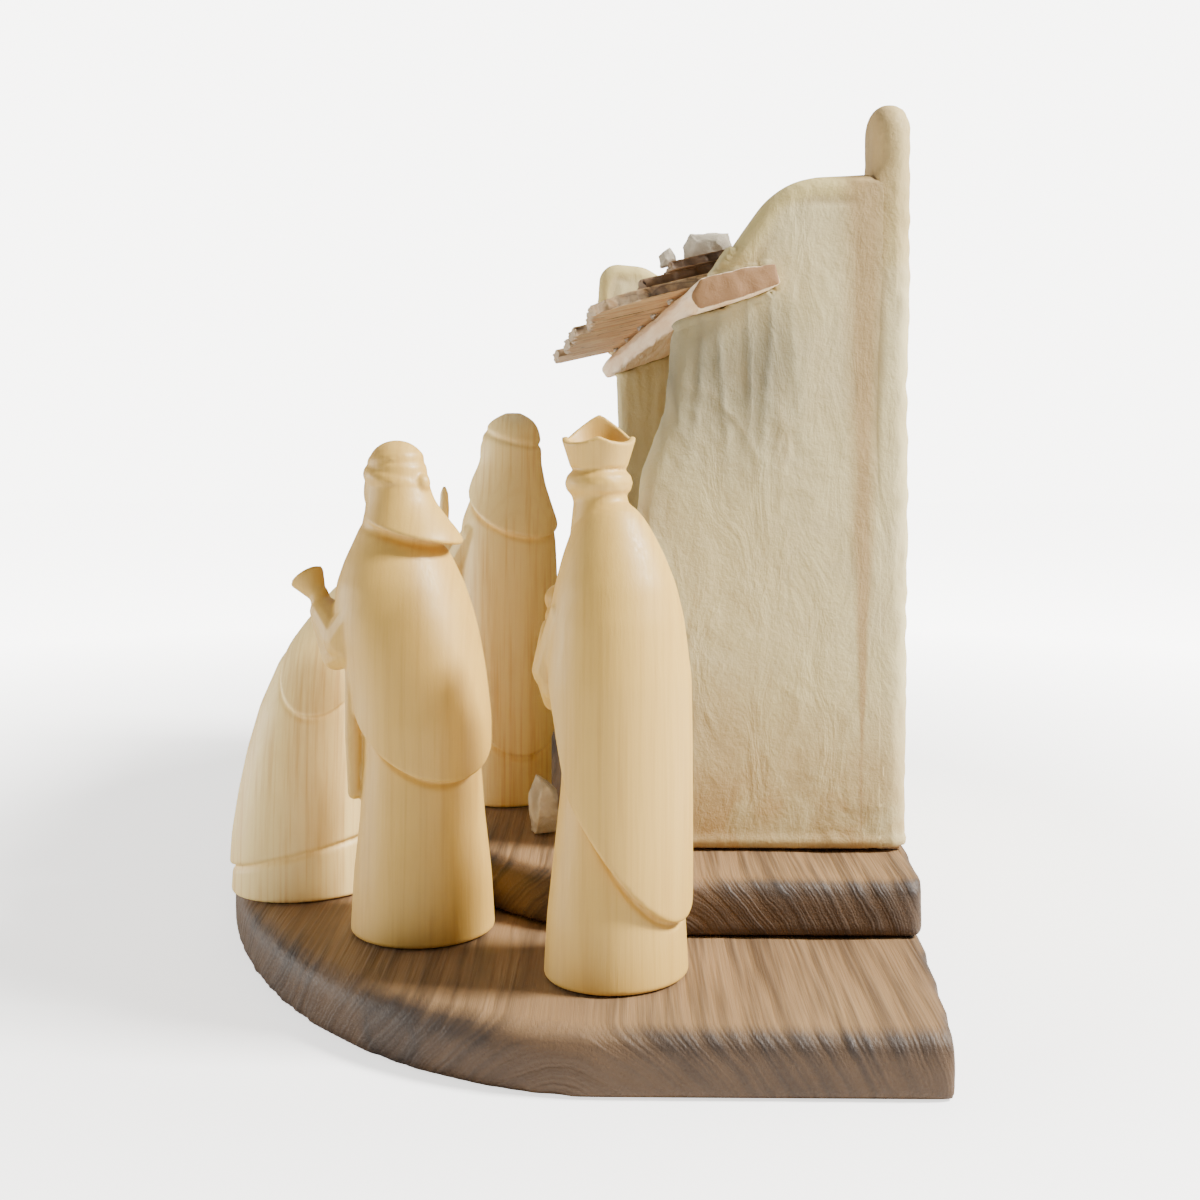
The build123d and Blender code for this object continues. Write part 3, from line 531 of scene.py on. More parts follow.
def plastered_wall(side, voxel, lip_height, flat_axis, back_limit):
    coat = side + "_wall_coat"
    wall = welded_copy(coat, side + "_wall_core")
    if lip_height:
        wall_lip(wall, side, lip_height)
    skin = even_skin(wall, voxel, 3)
    creases = skin.verts.layers.float.new("crease")
    rims = skin.verts.layers.float.new("rim")
    shades = skin.verts.layers.float.new("beam_shadow_zone")
    front_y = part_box(coat)[0].y
    beam_low, beam_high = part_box("eaves_beam")
    beam_z = beam_low.z
    moves = []
    for vertex, from_rim in zip(skin.verts, rim_distances(skin, flat_axis, back_limit)):
        depth, crease = wrinkle(vertex.co)
        rim_at = from_rim / mm + 2.2 * noise.noise(vertex.co / (16 * mm))
        high = float(soft_step((vertex.co.z - beam_z - 10 * mm) / (14 * mm)))
        broken = float(soft_step(0.5 + 2.2 * noise.noise(vertex.co / (21 * mm) + Vector((3, 5, 1)))))
        valley = math.exp(-(((rim_at - 8.5) / 1.4) ** 2)) * broken * (0.25 + 0.75 * high)
        vertex[rims] = float(1 - soft_step((rim_at - 5.5) / 4))
        # The zone below the beam holds hanging folds and the beam's painted shadow, which only the right wall
        # stores.
        beam_shadow_zone, fold = hanging_fold(vertex.co, front_y, beam_z)
        vertex[shades] = beam_shadow_zone * (0.7 + 0.3 * fold) if side == "right" else 0.0
        depth += 1.1 * beam_shadow_zone * fold - 0.7 * valley
        beside_beam = beam_low.z - 6 * mm < vertex.co.z < beam_high.z + 6 * mm
        if beside_beam and abs(vertex.normal.z) > 0.4:
            depth += 2.4
        if vertex.normal.y > 0.3 and vertex.co.y > joint_y:
            depth += 1.2 * noise.noise(vertex.co / (6 * mm)) - 0.3
        vertex[creases] = float(np.clip(0.9 * crease - 0.5 * depth + 0.35 * valley, 0, 1))
        above = (vertex.co.z - wall_foot_z) / mm
        lip = 0.9 * math.exp(-(((above - 3.2) / 1.6) ** 2)) - 1.2 * math.exp(-((above / 1.1) ** 2))
        foot = float(soft_step(above / 5))
        moves.append(vertex.normal * ((depth - 0.55) * (0.3 + 0.7 * foot) + lip) * 0.6 * mm)
    for vertex, move in zip(skin.verts, moves):
        vertex.co += move
    return finish_piece(side + "_wall_plaster", skin, plaster_finish, "stable", [coat])


plastered_wall("right", 1.1 * mm, 220 * mm, 0, joint_y - 8 * mm)
plastered_wall("left", 1.15 * mm, 215 * mm, 0, joint_y - 8 * mm)
plastered_wall("back", 1.6 * mm, 0, 1, wall_back_y + 1 * mm)

# %% [markdown]
# ## The roof
# Each board and shingle is a split piece: long shallow ridges follow the fibres up the slope, and the end
# is torn where the fibres broke at different places. The skin is pushed by a stretched noise for the
# ridges, and the points near an end slide along the slope by a noise that only changes across the piece. A
# cell noise, which stays level and then jumps, breaks the end and the near side into splinters and small
# blocks.

# %% Split boards and shingles
slope_up = Vector((0, math.cos(roof_slope), math.sin(roof_slope)))
slope_out = Vector((0, -math.sin(roof_slope), math.cos(roof_slope)))


def split_piece(node, voxel, finish, tear):
    skin = even_skin(welded_copy(node), voxel, 1)
    dark_ends_and_shaded_sides = skin.verts.layers.float.new("end_grain_and_side_shade")
    weathered = skin.verts.layers.float.new("weathered")
    ups = [vertex.co.dot(slope_up) for vertex in skin.verts]
    front = min(ups)
    seed = (sum(ord(letter) for letter in node) % 17) * 1.7
    moves = []
    for vertex, up in zip(skin.verts, ups):
        place = vertex.co
        level = place.dot(slope_out)
        ahead = float(soft_step(-vertex.normal.dot(slope_up) * 1.6 + 0.2))
        aside = float(soft_step(vertex.normal.x * 1.6 - 0.2))
        near_front = 1 - float(soft_step((up - front) / (6 * mm)))
        fore = 1 - float(soft_step((up - front - 34 * mm) / (22 * mm)))
        fray = noise.noise(Vector((place.x * 430, seed, level * 260)))
        splinter = noise.cell(Vector((place.x * 190, seed, level * 330)))
        block = noise.cell(Vector((up * 260, seed + 3, level * 40)))
        ridge = noise.noise(Vector((place.x * 300, up * 14 + seed, level * 30)))
        # The near sides, facing +X, are marked here for a painted shade.
        vertex[dark_ends_and_shaded_sides] = aside * (0.3 + 0.7 * fore) * (0.75 + 0.25 * block)
        vertex[weathered] = max(ahead, 0.5 * near_front) * (1 - aside)
        move = vertex.normal * (ridge - 0.5) * 0.35 * mm
        move += slope_up * max(near_front, ahead) * (0.9 + 0.5 * fray + 0.5 * splinter) * tear
        move -= Vector((1, 0, 0)) * aside * (0.2 + (0.3 + 1.2 * fore) * abs(block)) * 0.8 * tear
        moves.append(move)
    for vertex, move in zip(skin.verts, moves):
        vertex.co += move
    return finish_piece(node + "_split", skin, finish, "stable", [node])


for number in range(1, 6):
    split_piece(f"roof_board_{number}", 0.9 * mm, board_finish, 1.6 * mm)
    split_piece(f"lower_shingle_{number}", 0.9 * mm, shingle_finish, 1.8 * mm)
    split_piece(f"upper_shingle_{number}", 0.8 * mm, shingle_finish, 1.8 * mm)

# %% [markdown]
# The eaves beam is one slat with a sawn front and rough ends. Its long edges wander. It lies a little askew
# in the roof, so a face belongs to an end where its normal runs along the beam's own axis, and the same
# attribute as on the boards marks it.

# %% Eaves beam
def eaves_slat():
    skin = even_skin(welded_copy("eaves_beam"), 1.0 * mm, 2)
    layer = skin.verts.layers.float.new("end_grain_and_side_shade")
    skew = math.radians(6.4)
    beam_way = Vector((math.cos(skew), 0, 0)) + slope_up * math.sin(skew)
    for vertex in skin.verts:
        vertex[layer] = float(soft_step(abs(vertex.normal.dot(beam_way)) * 2.2 - 0.7))

    def wander(place):
        long_wave = noise.noise(Vector((place.x * 22, place.y * 60, place.z * 60)))
        chip = noise.noise(Vector((place.x * 60, place.y * 240, place.z * 240)))
        return (-0.6 + 0.6 * long_wave + 0.35 * chip) * 0.9 * mm

    push(skin, wander)
    return finish_piece("eaves_slat", skin, beam_finish, "stable", ["eaves_beam"])


eaves_slat()

# %% [markdown]
# Glue squeezed out where the boards were pressed onto the beam and set in shiny drops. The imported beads
# have the place and the size, and a fine skin with a soft noise makes each of them a little different.

# %% Glue beads
def glue_drops():
    skin = even_skin(welded_copy("glue_beads"), 0.35 * mm, 3)
    push(skin, lambda place: 0.35 * mm * noise.noise(place * 700))
    return finish_piece("glue_drops", skin, glue_finish, "stable", ["glue_beads"])


glue_drops()

# %% [markdown]
# The stones are broken, so they have flat facets with chipped edges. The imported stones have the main
# facets. Nine planes, spread round the stone, cut its farthest corners off, and a ridged noise chips the
# skin. The deep spots hold dirt.

# %% Broken stones
def chipped(node):
    rock = welded_copy(node)
    low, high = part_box(node)
    centre = (low + high) / 2
    half = (high - low) / 2
    for index in range(9):
        way = Vector((math.cos(2.4 * index), math.sin(2.4 * index), 0.9 - 0.16 * index)).normalized()
        reach = math.sqrt(sum((way[axis] * half[axis]) ** 2 for axis in range(3)))
        cut = bmesh.ops.bisect_plane(
            rock, geom=rock.verts[:] + rock.edges[:] + rock.faces[:], plane_co=centre + way * reach * 0.93,
            plane_no=way, clear_outer=True)["geom_cut"]
        edges = [item for item in cut if isinstance(item, bmesh.types.BMEdge)]
        if edges:
            bmesh.ops.holes_fill(rock, edges=edges)
    return rock


def broken_rock(node, voxel):
    skin = even_skin(chipped(node), voxel, 1)
    layer = skin.verts.layers.float.new("crease")
    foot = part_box(node)[0].z
    moves = []
    for vertex in skin.verts:
        place = vertex.co
        chip = noise.ridged_multi_fractal(place * 130, 0.9, 2.1, 4, 0.9, 2.0) - 1.1
        vertex[layer] = float(np.clip(0.25 - 0.6 * chip, 0, 1))
        planted = soft_step((place.z - foot) / (1.5 * mm))
        moves.append(vertex.normal * float((0.4 * chip - 0.25) * planted) * mm)
    for vertex, move in zip(skin.verts, moves):
        vertex.co += move
    return finish_piece(node + "_rock", skin, stone_finish, "stable", [node])


for node in ("roof_stone_large", "roof_stone_small", "ground_stone"):
    broken_rock(node, 0.4 * mm)

# %% [markdown]
# ## The carved figures
# Each figure is built of turned layers. A layer is a cylinder cut into many levels. Carving moves every
# point to the outline of the robe or cloak at its level, and the lowest ring follows the hem. A hem rises
# and falls around the figure, so one cosine draws it, and its edge is rounded over like sanded wood. The
# layer below has a fine groove along the same line, as a knife leaves it. A cloak may stay open: there its
# points sink under the robe. A hood sinks where the face looks out. Heads, arms and gifts are simple
# rounded forms. At the end a voxel skin fuses them all, as they are one block of wood.

# %% Turned blank and carved outline
middle_y = 25.5 * mm
front_of = {"crowned": 225, "turbaned": 238, "hooded": 238, "kneeling": 120}
flat_hem = (0, 0, 0)
front_gap = [(0, 40, 40), (95, 40, 40), (112, -12, -12)]


def soft_rows(rows, column, levels):
    table = np.array(rows, float)
    grid = np.arange(table[0, 0], table[-1, 0] + 0.25, 0.25)
    values = np.interp(grid, table[:, 0], table[:, column])
    reach = 14
    window = np.hanning(2 * reach + 1)
    padded = np.pad(values, reach, mode="reflect", reflect_type="odd")
    return np.interp(levels, grid, np.convolve(padded, window / window.sum(), "valid"))


def add_part(form, part):
    mesh = bpy.data.meshes.new("part")
    part.to_mesh(mesh)
    part.free()
    form.from_mesh(mesh)
    bpy.data.meshes.remove(mesh)


def turned_blank(sides, levels):
    blank = bmesh.new()
    bmesh.ops.create_cone(blank, cap_ends=True, segments=sides, radius1=1, radius2=1, depth=1)
    bmesh.ops.translate(blank, verts=blank.verts, vec=(0, 0, 0.5))
    upright = [edge for edge in blank.edges if abs(edge.verts[0].co.z - edge.verts[1].co.z) > 0.5]
    bmesh.ops.subdivide_edges(blank, edges=upright, cuts=levels - 1, use_grid_fill=True)
    return blank


def draped(form, rows, hem, under=None, opening=None, face=None, grooves=()):
    level, swing, low_way = hem
    top = rows[-1][0]
    layer = turned_blank(160, 190 if grooves else 90)
    shares = np.array([vertex.co.z for vertex in layer.verts])
    angles = np.array([math.atan2(vertex.co.y, vertex.co.x) for vertex in layer.verts])
    low = np.minimum(level - swing * np.cos(angles - math.radians(low_way)), top - 5)
    levels = low + (top - low) * shares ** 1.5
    outline = [soft_rows(rows, column, levels) for column in (1, 2, 3)]
    edge_round = 1.1
    above = np.clip((levels - low) / edge_round, 0, 1)
    inset = edge_round * (1 - np.sqrt(1 - (1 - above) ** 2))
    for groove_level, groove_swing, groove_way in grooves:
        line = groove_level - groove_swing * np.cos(angles - math.radians(groove_way))
        inset = inset + 1.0 * np.exp(-(((levels - line + 0.7) / 1.0) ** 2))
    if face is not None:
        middle, half_high, half_way, sunk = face
        oval = np.hypot(angles / math.radians(half_way), (levels - middle) / half_high)
        inset = inset + sunk * (1 - soft_step((oval - 0.85) / 0.3))
    outline[0] = np.maximum(outline[0] - inset, 0.3)
    outline[1] = np.maximum(outline[1] - inset, 0.3)
    if opening is not None:
        left, right = (np.interp(levels, [row[0] for row in opening], [row[column] for row in opening])
                       for column in (1, 2))
        ways = np.degrees(angles)
        inside = soft_step((left - ways) / 5 + 0.5) * soft_step((ways + right) / 5 + 0.5)
        for index, sunk in enumerate((1.2, 1.2, 0)):
            hidden = soft_rows(under, index + 1, levels) - sunk
            outline[index] = outline[index] + (hidden - outline[index]) * inside
    width, depth, lean = outline
    for index, vertex in enumerate(layer.verts):
        across = width[index] * math.sin(angles[index])
        vertex.co = (lean[index] + depth[index] * math.cos(angles[index]), across, levels[index])
    add_part(form, layer)

# %% [markdown]
# A head is an egg with a calm, general face: eye hollows at half height, a nose that ends halfway to the
# chin, and a mouth a third of the way below it. Every feature is a soft hill or hollow, so the face stays
# as plain as the rest of the carving. Arms, rolls of hair and wound cloth are chains of rounded links.

# %% Heads and limbs
def hill(across, up, centre_across, centre_up, wide, high):
    return np.exp(-(((across - centre_across) / wide) ** 2) - (((up - centre_up) / high) ** 2))


# Each feature: rise, place across, place up, width, height, as shares of the head's half size
face_features = [
    (0.17, 0, -0.12, 0.13, 0.15), (0.10, 0, 0.06, 0.10, 0.22),
    (-0.09, 0.34, 0.06, 0.2, 0.11), (-0.09, -0.34, 0.06, 0.2, 0.11),
    (0.035, 0.34, 0.03, 0.12, 0.05), (0.035, -0.34, 0.03, 0.12, 0.05),
    (0.05, 0, -0.38, 0.2, 0.05), (0.05, 0, -0.5, 0.18, 0.05), (-0.05, 0, -0.44, 0.24, 0.03),
    (0.07, 0, -0.72, 0.22, 0.14),
]


def carved_head(form, centre, size, turn):
    egg = bmesh.ops.create_uvsphere(form, u_segments=72, v_segments=54, radius=1)["verts"]
    half_depth, half_width, half_height = size
    for vertex in egg:
        x, across, up = vertex.co
        if x > 0:
            jaw = 1 - 0.16 * soft_step(-up * 1.2)
            shape = sum(rise * hill(across, up, *feature) for rise, *feature in face_features)
            vertex.co.x = x + float(shape)
            vertex.co.y = across * float(jaw)
    place = Matrix.Translation(centre) @ Matrix.Rotation(math.radians(turn), 4, "Z")
    place = place @ Matrix.Diagonal((half_depth, half_width, half_height, 1))
    bmesh.ops.transform(form, matrix=place, verts=egg)


def limb(form, joints):
    for pair in zip(joints, joints[1:]):
        part = bmesh.new()
        for centre, radius in pair:
            bmesh.ops.create_icosphere(part, subdivisions=2, radius=radius, matrix=Matrix.Translation(centre))
        bmesh.ops.delete(part, geom=part.edges[:], context="EDGES_FACES")
        bmesh.ops.convex_hull(part, input=part.verts[:])
        loose = [vertex for vertex in part.verts if not vertex.link_faces]
        bmesh.ops.delete(part, geom=loose, context="VERTS")
        add_part(form, part)


def ball(form, centre, size, turn=0.0, tilt=0.0):
    place = Matrix.Translation(centre) @ Matrix.Rotation(math.radians(turn), 4, "Z")
    place = place @ Matrix.Rotation(math.radians(tilt), 4, "Y") @ Matrix.Diagonal((*size, 1))
    bmesh.ops.create_uvsphere(form, u_segments=48, v_segments=32, radius=1, matrix=place)


def ring(form, centre, radius, roll, tilt, first_way, last_way):
    links = []
    for way in range(first_way, last_way + 1, 15):
        angle = math.radians(way)
        rise = radius * math.cos(angle) * math.tan(math.radians(tilt))
        spot = Vector(centre) + Vector((radius * math.cos(angle), radius * math.sin(angle), rise))
        links.append((spot, roll))
    limb(form, links)


def flared_band(form, centre, foot_radius, rim_radius, wall, rim_at, turn, tilt=0.0):
    cone = bmesh.new()
    bmesh.ops.create_cone(
        cone, cap_ends=False, segments=120, radius1=foot_radius, radius2=rim_radius, depth=1)
    upright = [edge for edge in cone.edges if abs(edge.verts[0].co.z - edge.verts[1].co.z) > 0.5]
    bmesh.ops.subdivide_edges(cone, edges=upright, cuts=10, use_grid_fill=True)
    for vertex in cone.verts:
        vertex.co.z = (vertex.co.z + 0.5) * rim_at(math.atan2(vertex.co.y, vertex.co.x))
    bmesh.ops.recalc_face_normals(cone, faces=cone.faces)
    bmesh.ops.solidify(cone, geom=cone.faces[:], thickness=wall)
    place = Matrix.Translation(centre) @ Matrix.Rotation(math.radians(turn), 4, "Z")
    place = place @ Matrix.Rotation(math.radians(tilt), 4, "Y")
    bmesh.ops.transform(cone, matrix=place, verts=cone.verts)
    add_part(form, cone)


def stand_figure(name, form, place, floor, voxel, finish):
    x, y = place
    facing = Matrix.Rotation(math.radians(front_of[name]), 4, "Z")
    spot = Matrix.Translation((x * mm, middle_y + y * mm, floor))
    bmesh.ops.transform(form, matrix=spot @ facing @ Matrix.Scale(mm, 4), verts=form.verts)
    skin = even_skin(form, voxel, 1)
    return finish_piece(name + "_carving", skin, finish, name, [name + "_figure"])


base_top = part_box("lower_base")[1].z
step_top = wall_foot_z

# %% [markdown]
# ### The crowned figure
# The cloak falls from rounded shoulders to a hem that swings low on one side. Under the crown a roll of
# hair goes round the head. The crown is a flared band whose rim has points, the tallest at the front.

# %% Crowned figure
def crowned_carving():
    robe = [(0, 21.6, 20.1, 0), (17.5, 20.6, 19.1, 0), (35, 18.5, 17.3, 0), (52.6, 16.5, 15.5, 0),
            (70, 15.4, 14.4, 0), (87.6, 15.2, 14.2, 0), (105, 14.2, 13.4, 1.2), (118, 12.2, 11.8, 3.3),
            (128, 9.6, 9.4, 5.2), (136, 7.6, 7.8, 6.6), (143, 7.2, 7.4, 7.0)]
    cloak = [(0, 22.3, 20.9, -0.6), (32, 22.3, 21.0, -0.6), (50, 22.2, 20.9, -0.6), (67, 22.2, 20.7, -0.6),
             (85, 21.8, 20.5, -0.5), (102, 19.9, 18.8, 0), (112, 17.6, 16.8, 0.4), (120, 14.8, 14.3, 1.2),
             (127, 11.6, 11.5, 2.0), (132, 8.6, 8.8, 2.6), (135, 5.6, 5.8, 3.0), (136.5, 2.4, 2.6, 3.2)]
    form = bmesh.new()
    hem = (47.9, 30.4, -164)
    draped(form, robe, flat_hem, grooves=[hem])
    side_gap = [(0, 104, 40), (48, 98, 40), (75, 76, 40), (92, 58, 40), (103, 34, 30), (112, -12, -12)]
    draped(form, cloak, hem, under=robe, opening=side_gap)
    carved_head(form, (7.6, 0, 140.0), (8.8, 8.0, 11.2), -45)
    ring(form, (7.3, 0, 140.4), 5.6, 4.3, 0, 15, 255)
    tall_front = 6.6

    def rim_at(angle):
        point = 1 - abs(math.sin(2 * angle))
        return 6.6 + 1.8 * point ** 1.3 + tall_front * max(0.0, math.cos(angle)) ** 2

    flared_band(form, (7.3, 0, 145.2), 8.3, 10.8, 1.9, rim_at, -45)
    ball(form, (7.3, 0, 145.8), (7.2, 7.2, 3.6))
    for side in (1, -1):
        limb(form, [((6, 13 * side, 103), 6.0), ((13, 12.5 * side, 87), 6.4), ((21, 5 * side, 97), 4.2)])
        limb(form, [((12, 12 * side, 83), 5.6), ((18.5, 7 * side, 77), 3.6), ((21, 5 * side, 96), 3.8)])
        ball(form, (23.2, 3.0 * side, 100.5), (3.0, 2.4, 3.6))
    ball(form, (24.2, 0, 105.6), (4.4, 4.4, 4.4))
    return stand_figure("crowned", form, (190, -1), base_top, 0.55 * mm, pale_carving)


crowned_carving()

# %% [markdown]
# ### The turbaned figure
# A wide cloak ends above a plain robe. A scarf hangs from under the turban down the back, with its edge cut
# aslant, and the turban is a cloth wound in soft rolls with a knot at the back. One arm holds a small bowl.

# %% Turbaned figure
def turban(form, centre):
    x, y, z = centre
    ball(form, (x, y, z + 1.6), (8.7, 8.7, 7.2))
    ring(form, (x, y, z - 3.2), 7.3, 3.4, 15, 0, 360)
    ring(form, (x + 0.4, y, z + 2.2), 5.9, 3.2, -9, 0, 360)
    ball(form, (x - 10.2, y - 0.6, z - 4.6), (2.2, 2.6, 2.8))


def turbaned_carving():
    robe = [(0, 22.7, 22.5, 0), (17.6, 21.7, 21.4, 0), (35, 19.9, 19.3, 0), (53, 18.6, 17.9, 0),
            (70, 18.3, 17.2, 0.6), (88, 18.2, 16.8, 3.2), (105.6, 17.0, 14.8, 7.2), (123, 12.5, 11.9, 9.5),
            (140, 8.0, 8.2, 10.1)]
    cloak = [(0, 20.6, 20.2, -0.5), (33.7, 20.8, 20.5, -0.5), (50, 21.5, 21.0, -0.6), (66, 22.0, 20.9, -0.4),
             (75, 22.0, 20.7, 0.6), (83, 22.4, 21.0, 2.4), (91, 22.9, 21.5, 4.9), (99, 22.7, 21.2, 7.0),
             (108, 20.8, 19.5, 8.6), (115, 17.8, 16.8, 9.2), (122, 13.8, 13.6, 9.6), (128, 10.6, 10.8, 9.9),
             (133, 8.0, 8.4, 10)]
    scarf = [(0, 20.4, 18.2, 1.8), (110, 20.0, 18.0, 2.0), (117, 18.1, 17.0, 3.0), (124, 15.4, 15.4, 4.4),
             (129, 12.6, 13.2, 6.6), (134, 10.6, 10.9, 8.6), (140, 9.6, 9.8, 9.8), (145, 9.2, 9.4, 10)]
    form = bmesh.new()
    hem = (64.3, 14.8, 155)
    scarf_hem = (124.5, 4, -160)
    draped(form, robe, flat_hem, grooves=[hem])
    draped(form, cloak, hem, under=robe, opening=front_gap, grooves=[scarf_hem])
    draped(form, scarf, scarf_hem)
    carved_head(form, (11.4, 0, 136.6), (9.8, 9.0, 12.0), 0)
    turban(form, (10.1, 0, 144.2))
    limb(form, [((9, 15, 103), 6.4), ((18, 15.5, 91), 7.0), ((30, 12, 99), 4.8)])
    limb(form, [((16, 15, 89), 6.4), ((24, 13, 85), 4.6), ((30.5, 12, 97), 4.2)])
    limb(form, [((9, -15, 103), 6.4), ((18, -12, 89), 6.2), ((25, -4, 92), 4.4)])
    ball(form, (32.0, 12, 103), (3.0, 3.2, 4.2))
    ball(form, (27.0, -2.4, 94.5), (3.0, 2.6, 3.6))
    flared_band(form, (32.4, 12, 103.4), 2.6, 5.8, 1.9, lambda angle: 8.0, 0, 40)
    ball(form, (32.8, 12, 104.2), (2.8, 2.8, 2.4))
    for side in (1, -1):
        limb(form, [((15.2, 14.0 * side, 84), 3.4), ((15.8, 14.2 * side, 60), 2.8),
                    ((15.9, 13.9 * side, 43), 2.2)])
    return stand_figure("turbaned", form, (152, -62), base_top, 0.6 * mm, pale_carving)


turbaned_carving()

# %% [markdown]
# ### The hooded figure and its staff
# A hood and a short cape cover the head and the shoulders, over a long cloak whose hem dips at the back.
# The staff is a separate turned stick with a rounded, slightly thicker top.

# %% Hooded figure
def hooded_carving():
    robe = [(0, 16.8, 16.4, 0), (31, 17.2, 16.4, 0), (63, 17.8, 16.2, 0), (79, 17.6, 15.6, 0),
            (94, 16.5, 14.6, 0), (110, 13.7, 12.7, 0), (120, 10.8, 10.8, 0.3), (128, 8.6, 9.0, 0.6)]
    cloak = [(0, 17.9, 17.2, -0.6), (27, 18.4, 17.5, -0.6), (47, 19.0, 17.7, -0.6), (66, 19.4, 17.9, -0.6),
             (86, 19.4, 17.9, -0.4), (98, 18.8, 17.6, -0.2), (106, 17.4, 16.6, 0), (116, 12.8, 12.8, 0.3),
             (126, 9.3, 9.9, 0.6)]
    cape = [(0, 21.0, 19.9, -0.2), (90, 21.0, 19.9, -0.2), (98, 20.5, 19.5, -0.2), (105, 19.3, 18.6, -0.1),
            (112, 16.6, 16.6, 0), (119, 13.8, 14.4, -0.2), (127, 11.6, 12.5, -0.8), (134, 11.0, 12.0, -1.4),
            (139, 9.9, 10.9, -1.9), (142.5, 7.8, 8.8, -2.3), (144.8, 5.0, 5.8, -2.6), (145.8, 2.0, 2.4, -2.7)]
    form = bmesh.new()
    hem = (37.8, 19, 150)
    cape_hem = (110.6, 10.9, 165)
    draped(form, robe, flat_hem, grooves=[hem])
    draped(form, cloak, hem, under=robe, opening=front_gap, grooves=[cape_hem])
    draped(form, cape, cape_hem, face=(130.5, 10.5, 50, 4.5), grooves=[(137.5, 3.5, 180)])
    carved_head(form, (3.0, 0, 130.6), (8.2, 7.6, 10.4), 0)
    limb(form, [((5, 13.5, 100), 5.6), ((14, 14.5, 86), 6.0), ((21.0, 9.6, 92), 4.2)])
    limb(form, [((5, -13.5, 100), 5.6), ((14, -12, 86), 5.8), ((20.5, -3, 88), 4.0)])
    ball(form, (22.8, 9.0, 95.0), (3.3, 3.6, 3.8))
    ball(form, (22.0, -1.6, 90.0), (2.8, 2.6, 3.4))
    return stand_figure("hooded", form, (58, -42.5), step_top, 0.55 * mm, grained_painted_light_carving)


hooded_carving()


def turned_staff():
    low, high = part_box("hooded_staff")
    centre = (low + high) / 2
    length = high.z - low.z
    turning_shares = [0, 0.02, 0.7, 0.8, 0.93, 0.98, 1.0]
    turning_radii = [0.9, 1.2, 1.25, 1.2, 1.9, 1.5, 0.5]
    stick = bmesh.new()
    bmesh.ops.create_cone(stick, cap_ends=True, segments=24, radius1=1, radius2=1, depth=length)
    upright = [edge for edge in stick.edges if abs(edge.verts[0].co.z - edge.verts[1].co.z) > length / 2]
    bmesh.ops.subdivide_edges(stick, edges=upright, cuts=90, use_grid_fill=True)
    for vertex in stick.verts:
        share = vertex.co.z / length + 0.5
        radius = float(np.interp(share, turning_shares, turning_radii))
        vertex.co.x *= radius * mm
        vertex.co.y *= radius * mm
    bmesh.ops.translate(stick, verts=stick.verts, vec=centre)
    return finish_piece("turned_staff", stick, grained_painted_light_carving, "hooded", ["hooded_staff"])


turned_staff()

# %% [markdown]
# ### The kneeling figure
# The wide robe lies on the ground behind, and the cloak and shawl follow the bowed back up to the head.

# %% Kneeling figure
def kneeling_carving():
    robe = [(0, 22.4, 26.0, 0), (13, 22.4, 25.5, 0.5), (27, 21.7, 25.0, 1.3), (40, 20.6, 23.5, 2.4),
            (54, 18.8, 21.5, 3.4), (67, 16.6, 18.5, 5.0), (80.6, 13.4, 14.5, 7.7), (94, 9.5, 10.0, 15.7)]
    cloak = [(0, 23.2, 27.4, 0.2), (20, 22.7, 26.6, 0.9), (34, 21.7, 25.2, 1.9), (48, 19.9, 23.2, 3.0),
             (63, 17.7, 20.2, 4.6), (78, 14.6, 16.1, 7.4), (90, 11.0, 11.8, 13.5), (94, 10.0, 10.8, 15.7)]
    shawl = [(0, 21.4, 24.4, 2.4), (54, 20.4, 23.0, 3.4), (61, 19.5, 21.6, 4.1), (68, 18.3, 19.9, 5.2),
             (75, 16.7, 17.9, 6.7), (83, 14.7, 15.7, 9.2), (90, 12.5, 13.2, 13.0), (97, 10.8, 11.2, 17.4),
             (101, 9.5, 9.8, 19.4), (104, 7.0, 7.2, 20.4), (105.8, 3.0, 3.2, 20.8)]
    form = bmesh.new()
    hem = (14.6, 6, 140)
    shawl_hem = (94, 33, -112)
    draped(form, robe, flat_hem, grooves=[hem])
    draped(form, cloak, hem, grooves=[shawl_hem])
    draped(form, shawl, shawl_hem, face=(93.5, 9.5, 48, 4.0))
    carved_head(form, (20.6, 0, 93.5), (8.6, 8.0, 10.4), 0)
    for side in (1, -1):
        limb(form, [((15, 12 * side, 76), 5.6), ((21, 10 * side, 65), 5.6), ((29, 3 * side, 71), 3.8)])
        ball(form, (30.5, 2.2 * side, 74.5), (2.6, 2.2, 4.6), tilt=-20)
    return stand_figure("kneeling", form, (108, -108), base_top, 0.56 * mm, grained_painted_light_carving)


kneeling_carving()

# %% [markdown]
# ## Camera, light and floor
# The photograph looks along the stable from its right end, a little above the middle of the walls, with the
# uprights nearly parallel, so the camera tips down only two degrees and its lens is shifted down. One
# window on the right gives the light its direction, and a weaker, broader one on the left, a wide one
# overhead and the surround fill the shade. The surround and the far floor are white to the camera alone, so
# that they add no light of their own.

# %% Camera
camera_data = bpy.data.cameras.new("camera")
camera_data.sensor_width = 36
focal_pixels = 1438
frame_pixels = 1200
camera_data.lens = focal_pixels * camera_data.sensor_width / frame_pixels
camera = bpy.data.objects.new("camera", camera_data)
bpy.context.scene.collection.objects.link(camera)
camera.location = (600 * mm, middle_y, 168 * mm)
turn_left = math.radians(0.8)
tip_down = math.radians(2)
level_forward = Vector((-math.cos(turn_left), -math.sin(turn_left), 0))
forward = level_forward * math.cos(tip_down) - Vector((0, 0, math.sin(tip_down)))
camera.rotation_euler = forward.to_track_quat("-Z", "Y").to_euler()
lens_drop = 100
camera_data.shift_y = -lens_drop / frame_pixels
bpy.context.scene.camera = camera
print("lens", round(camera_data.lens, 1), "shift", round(camera_data.shift_y, 3))

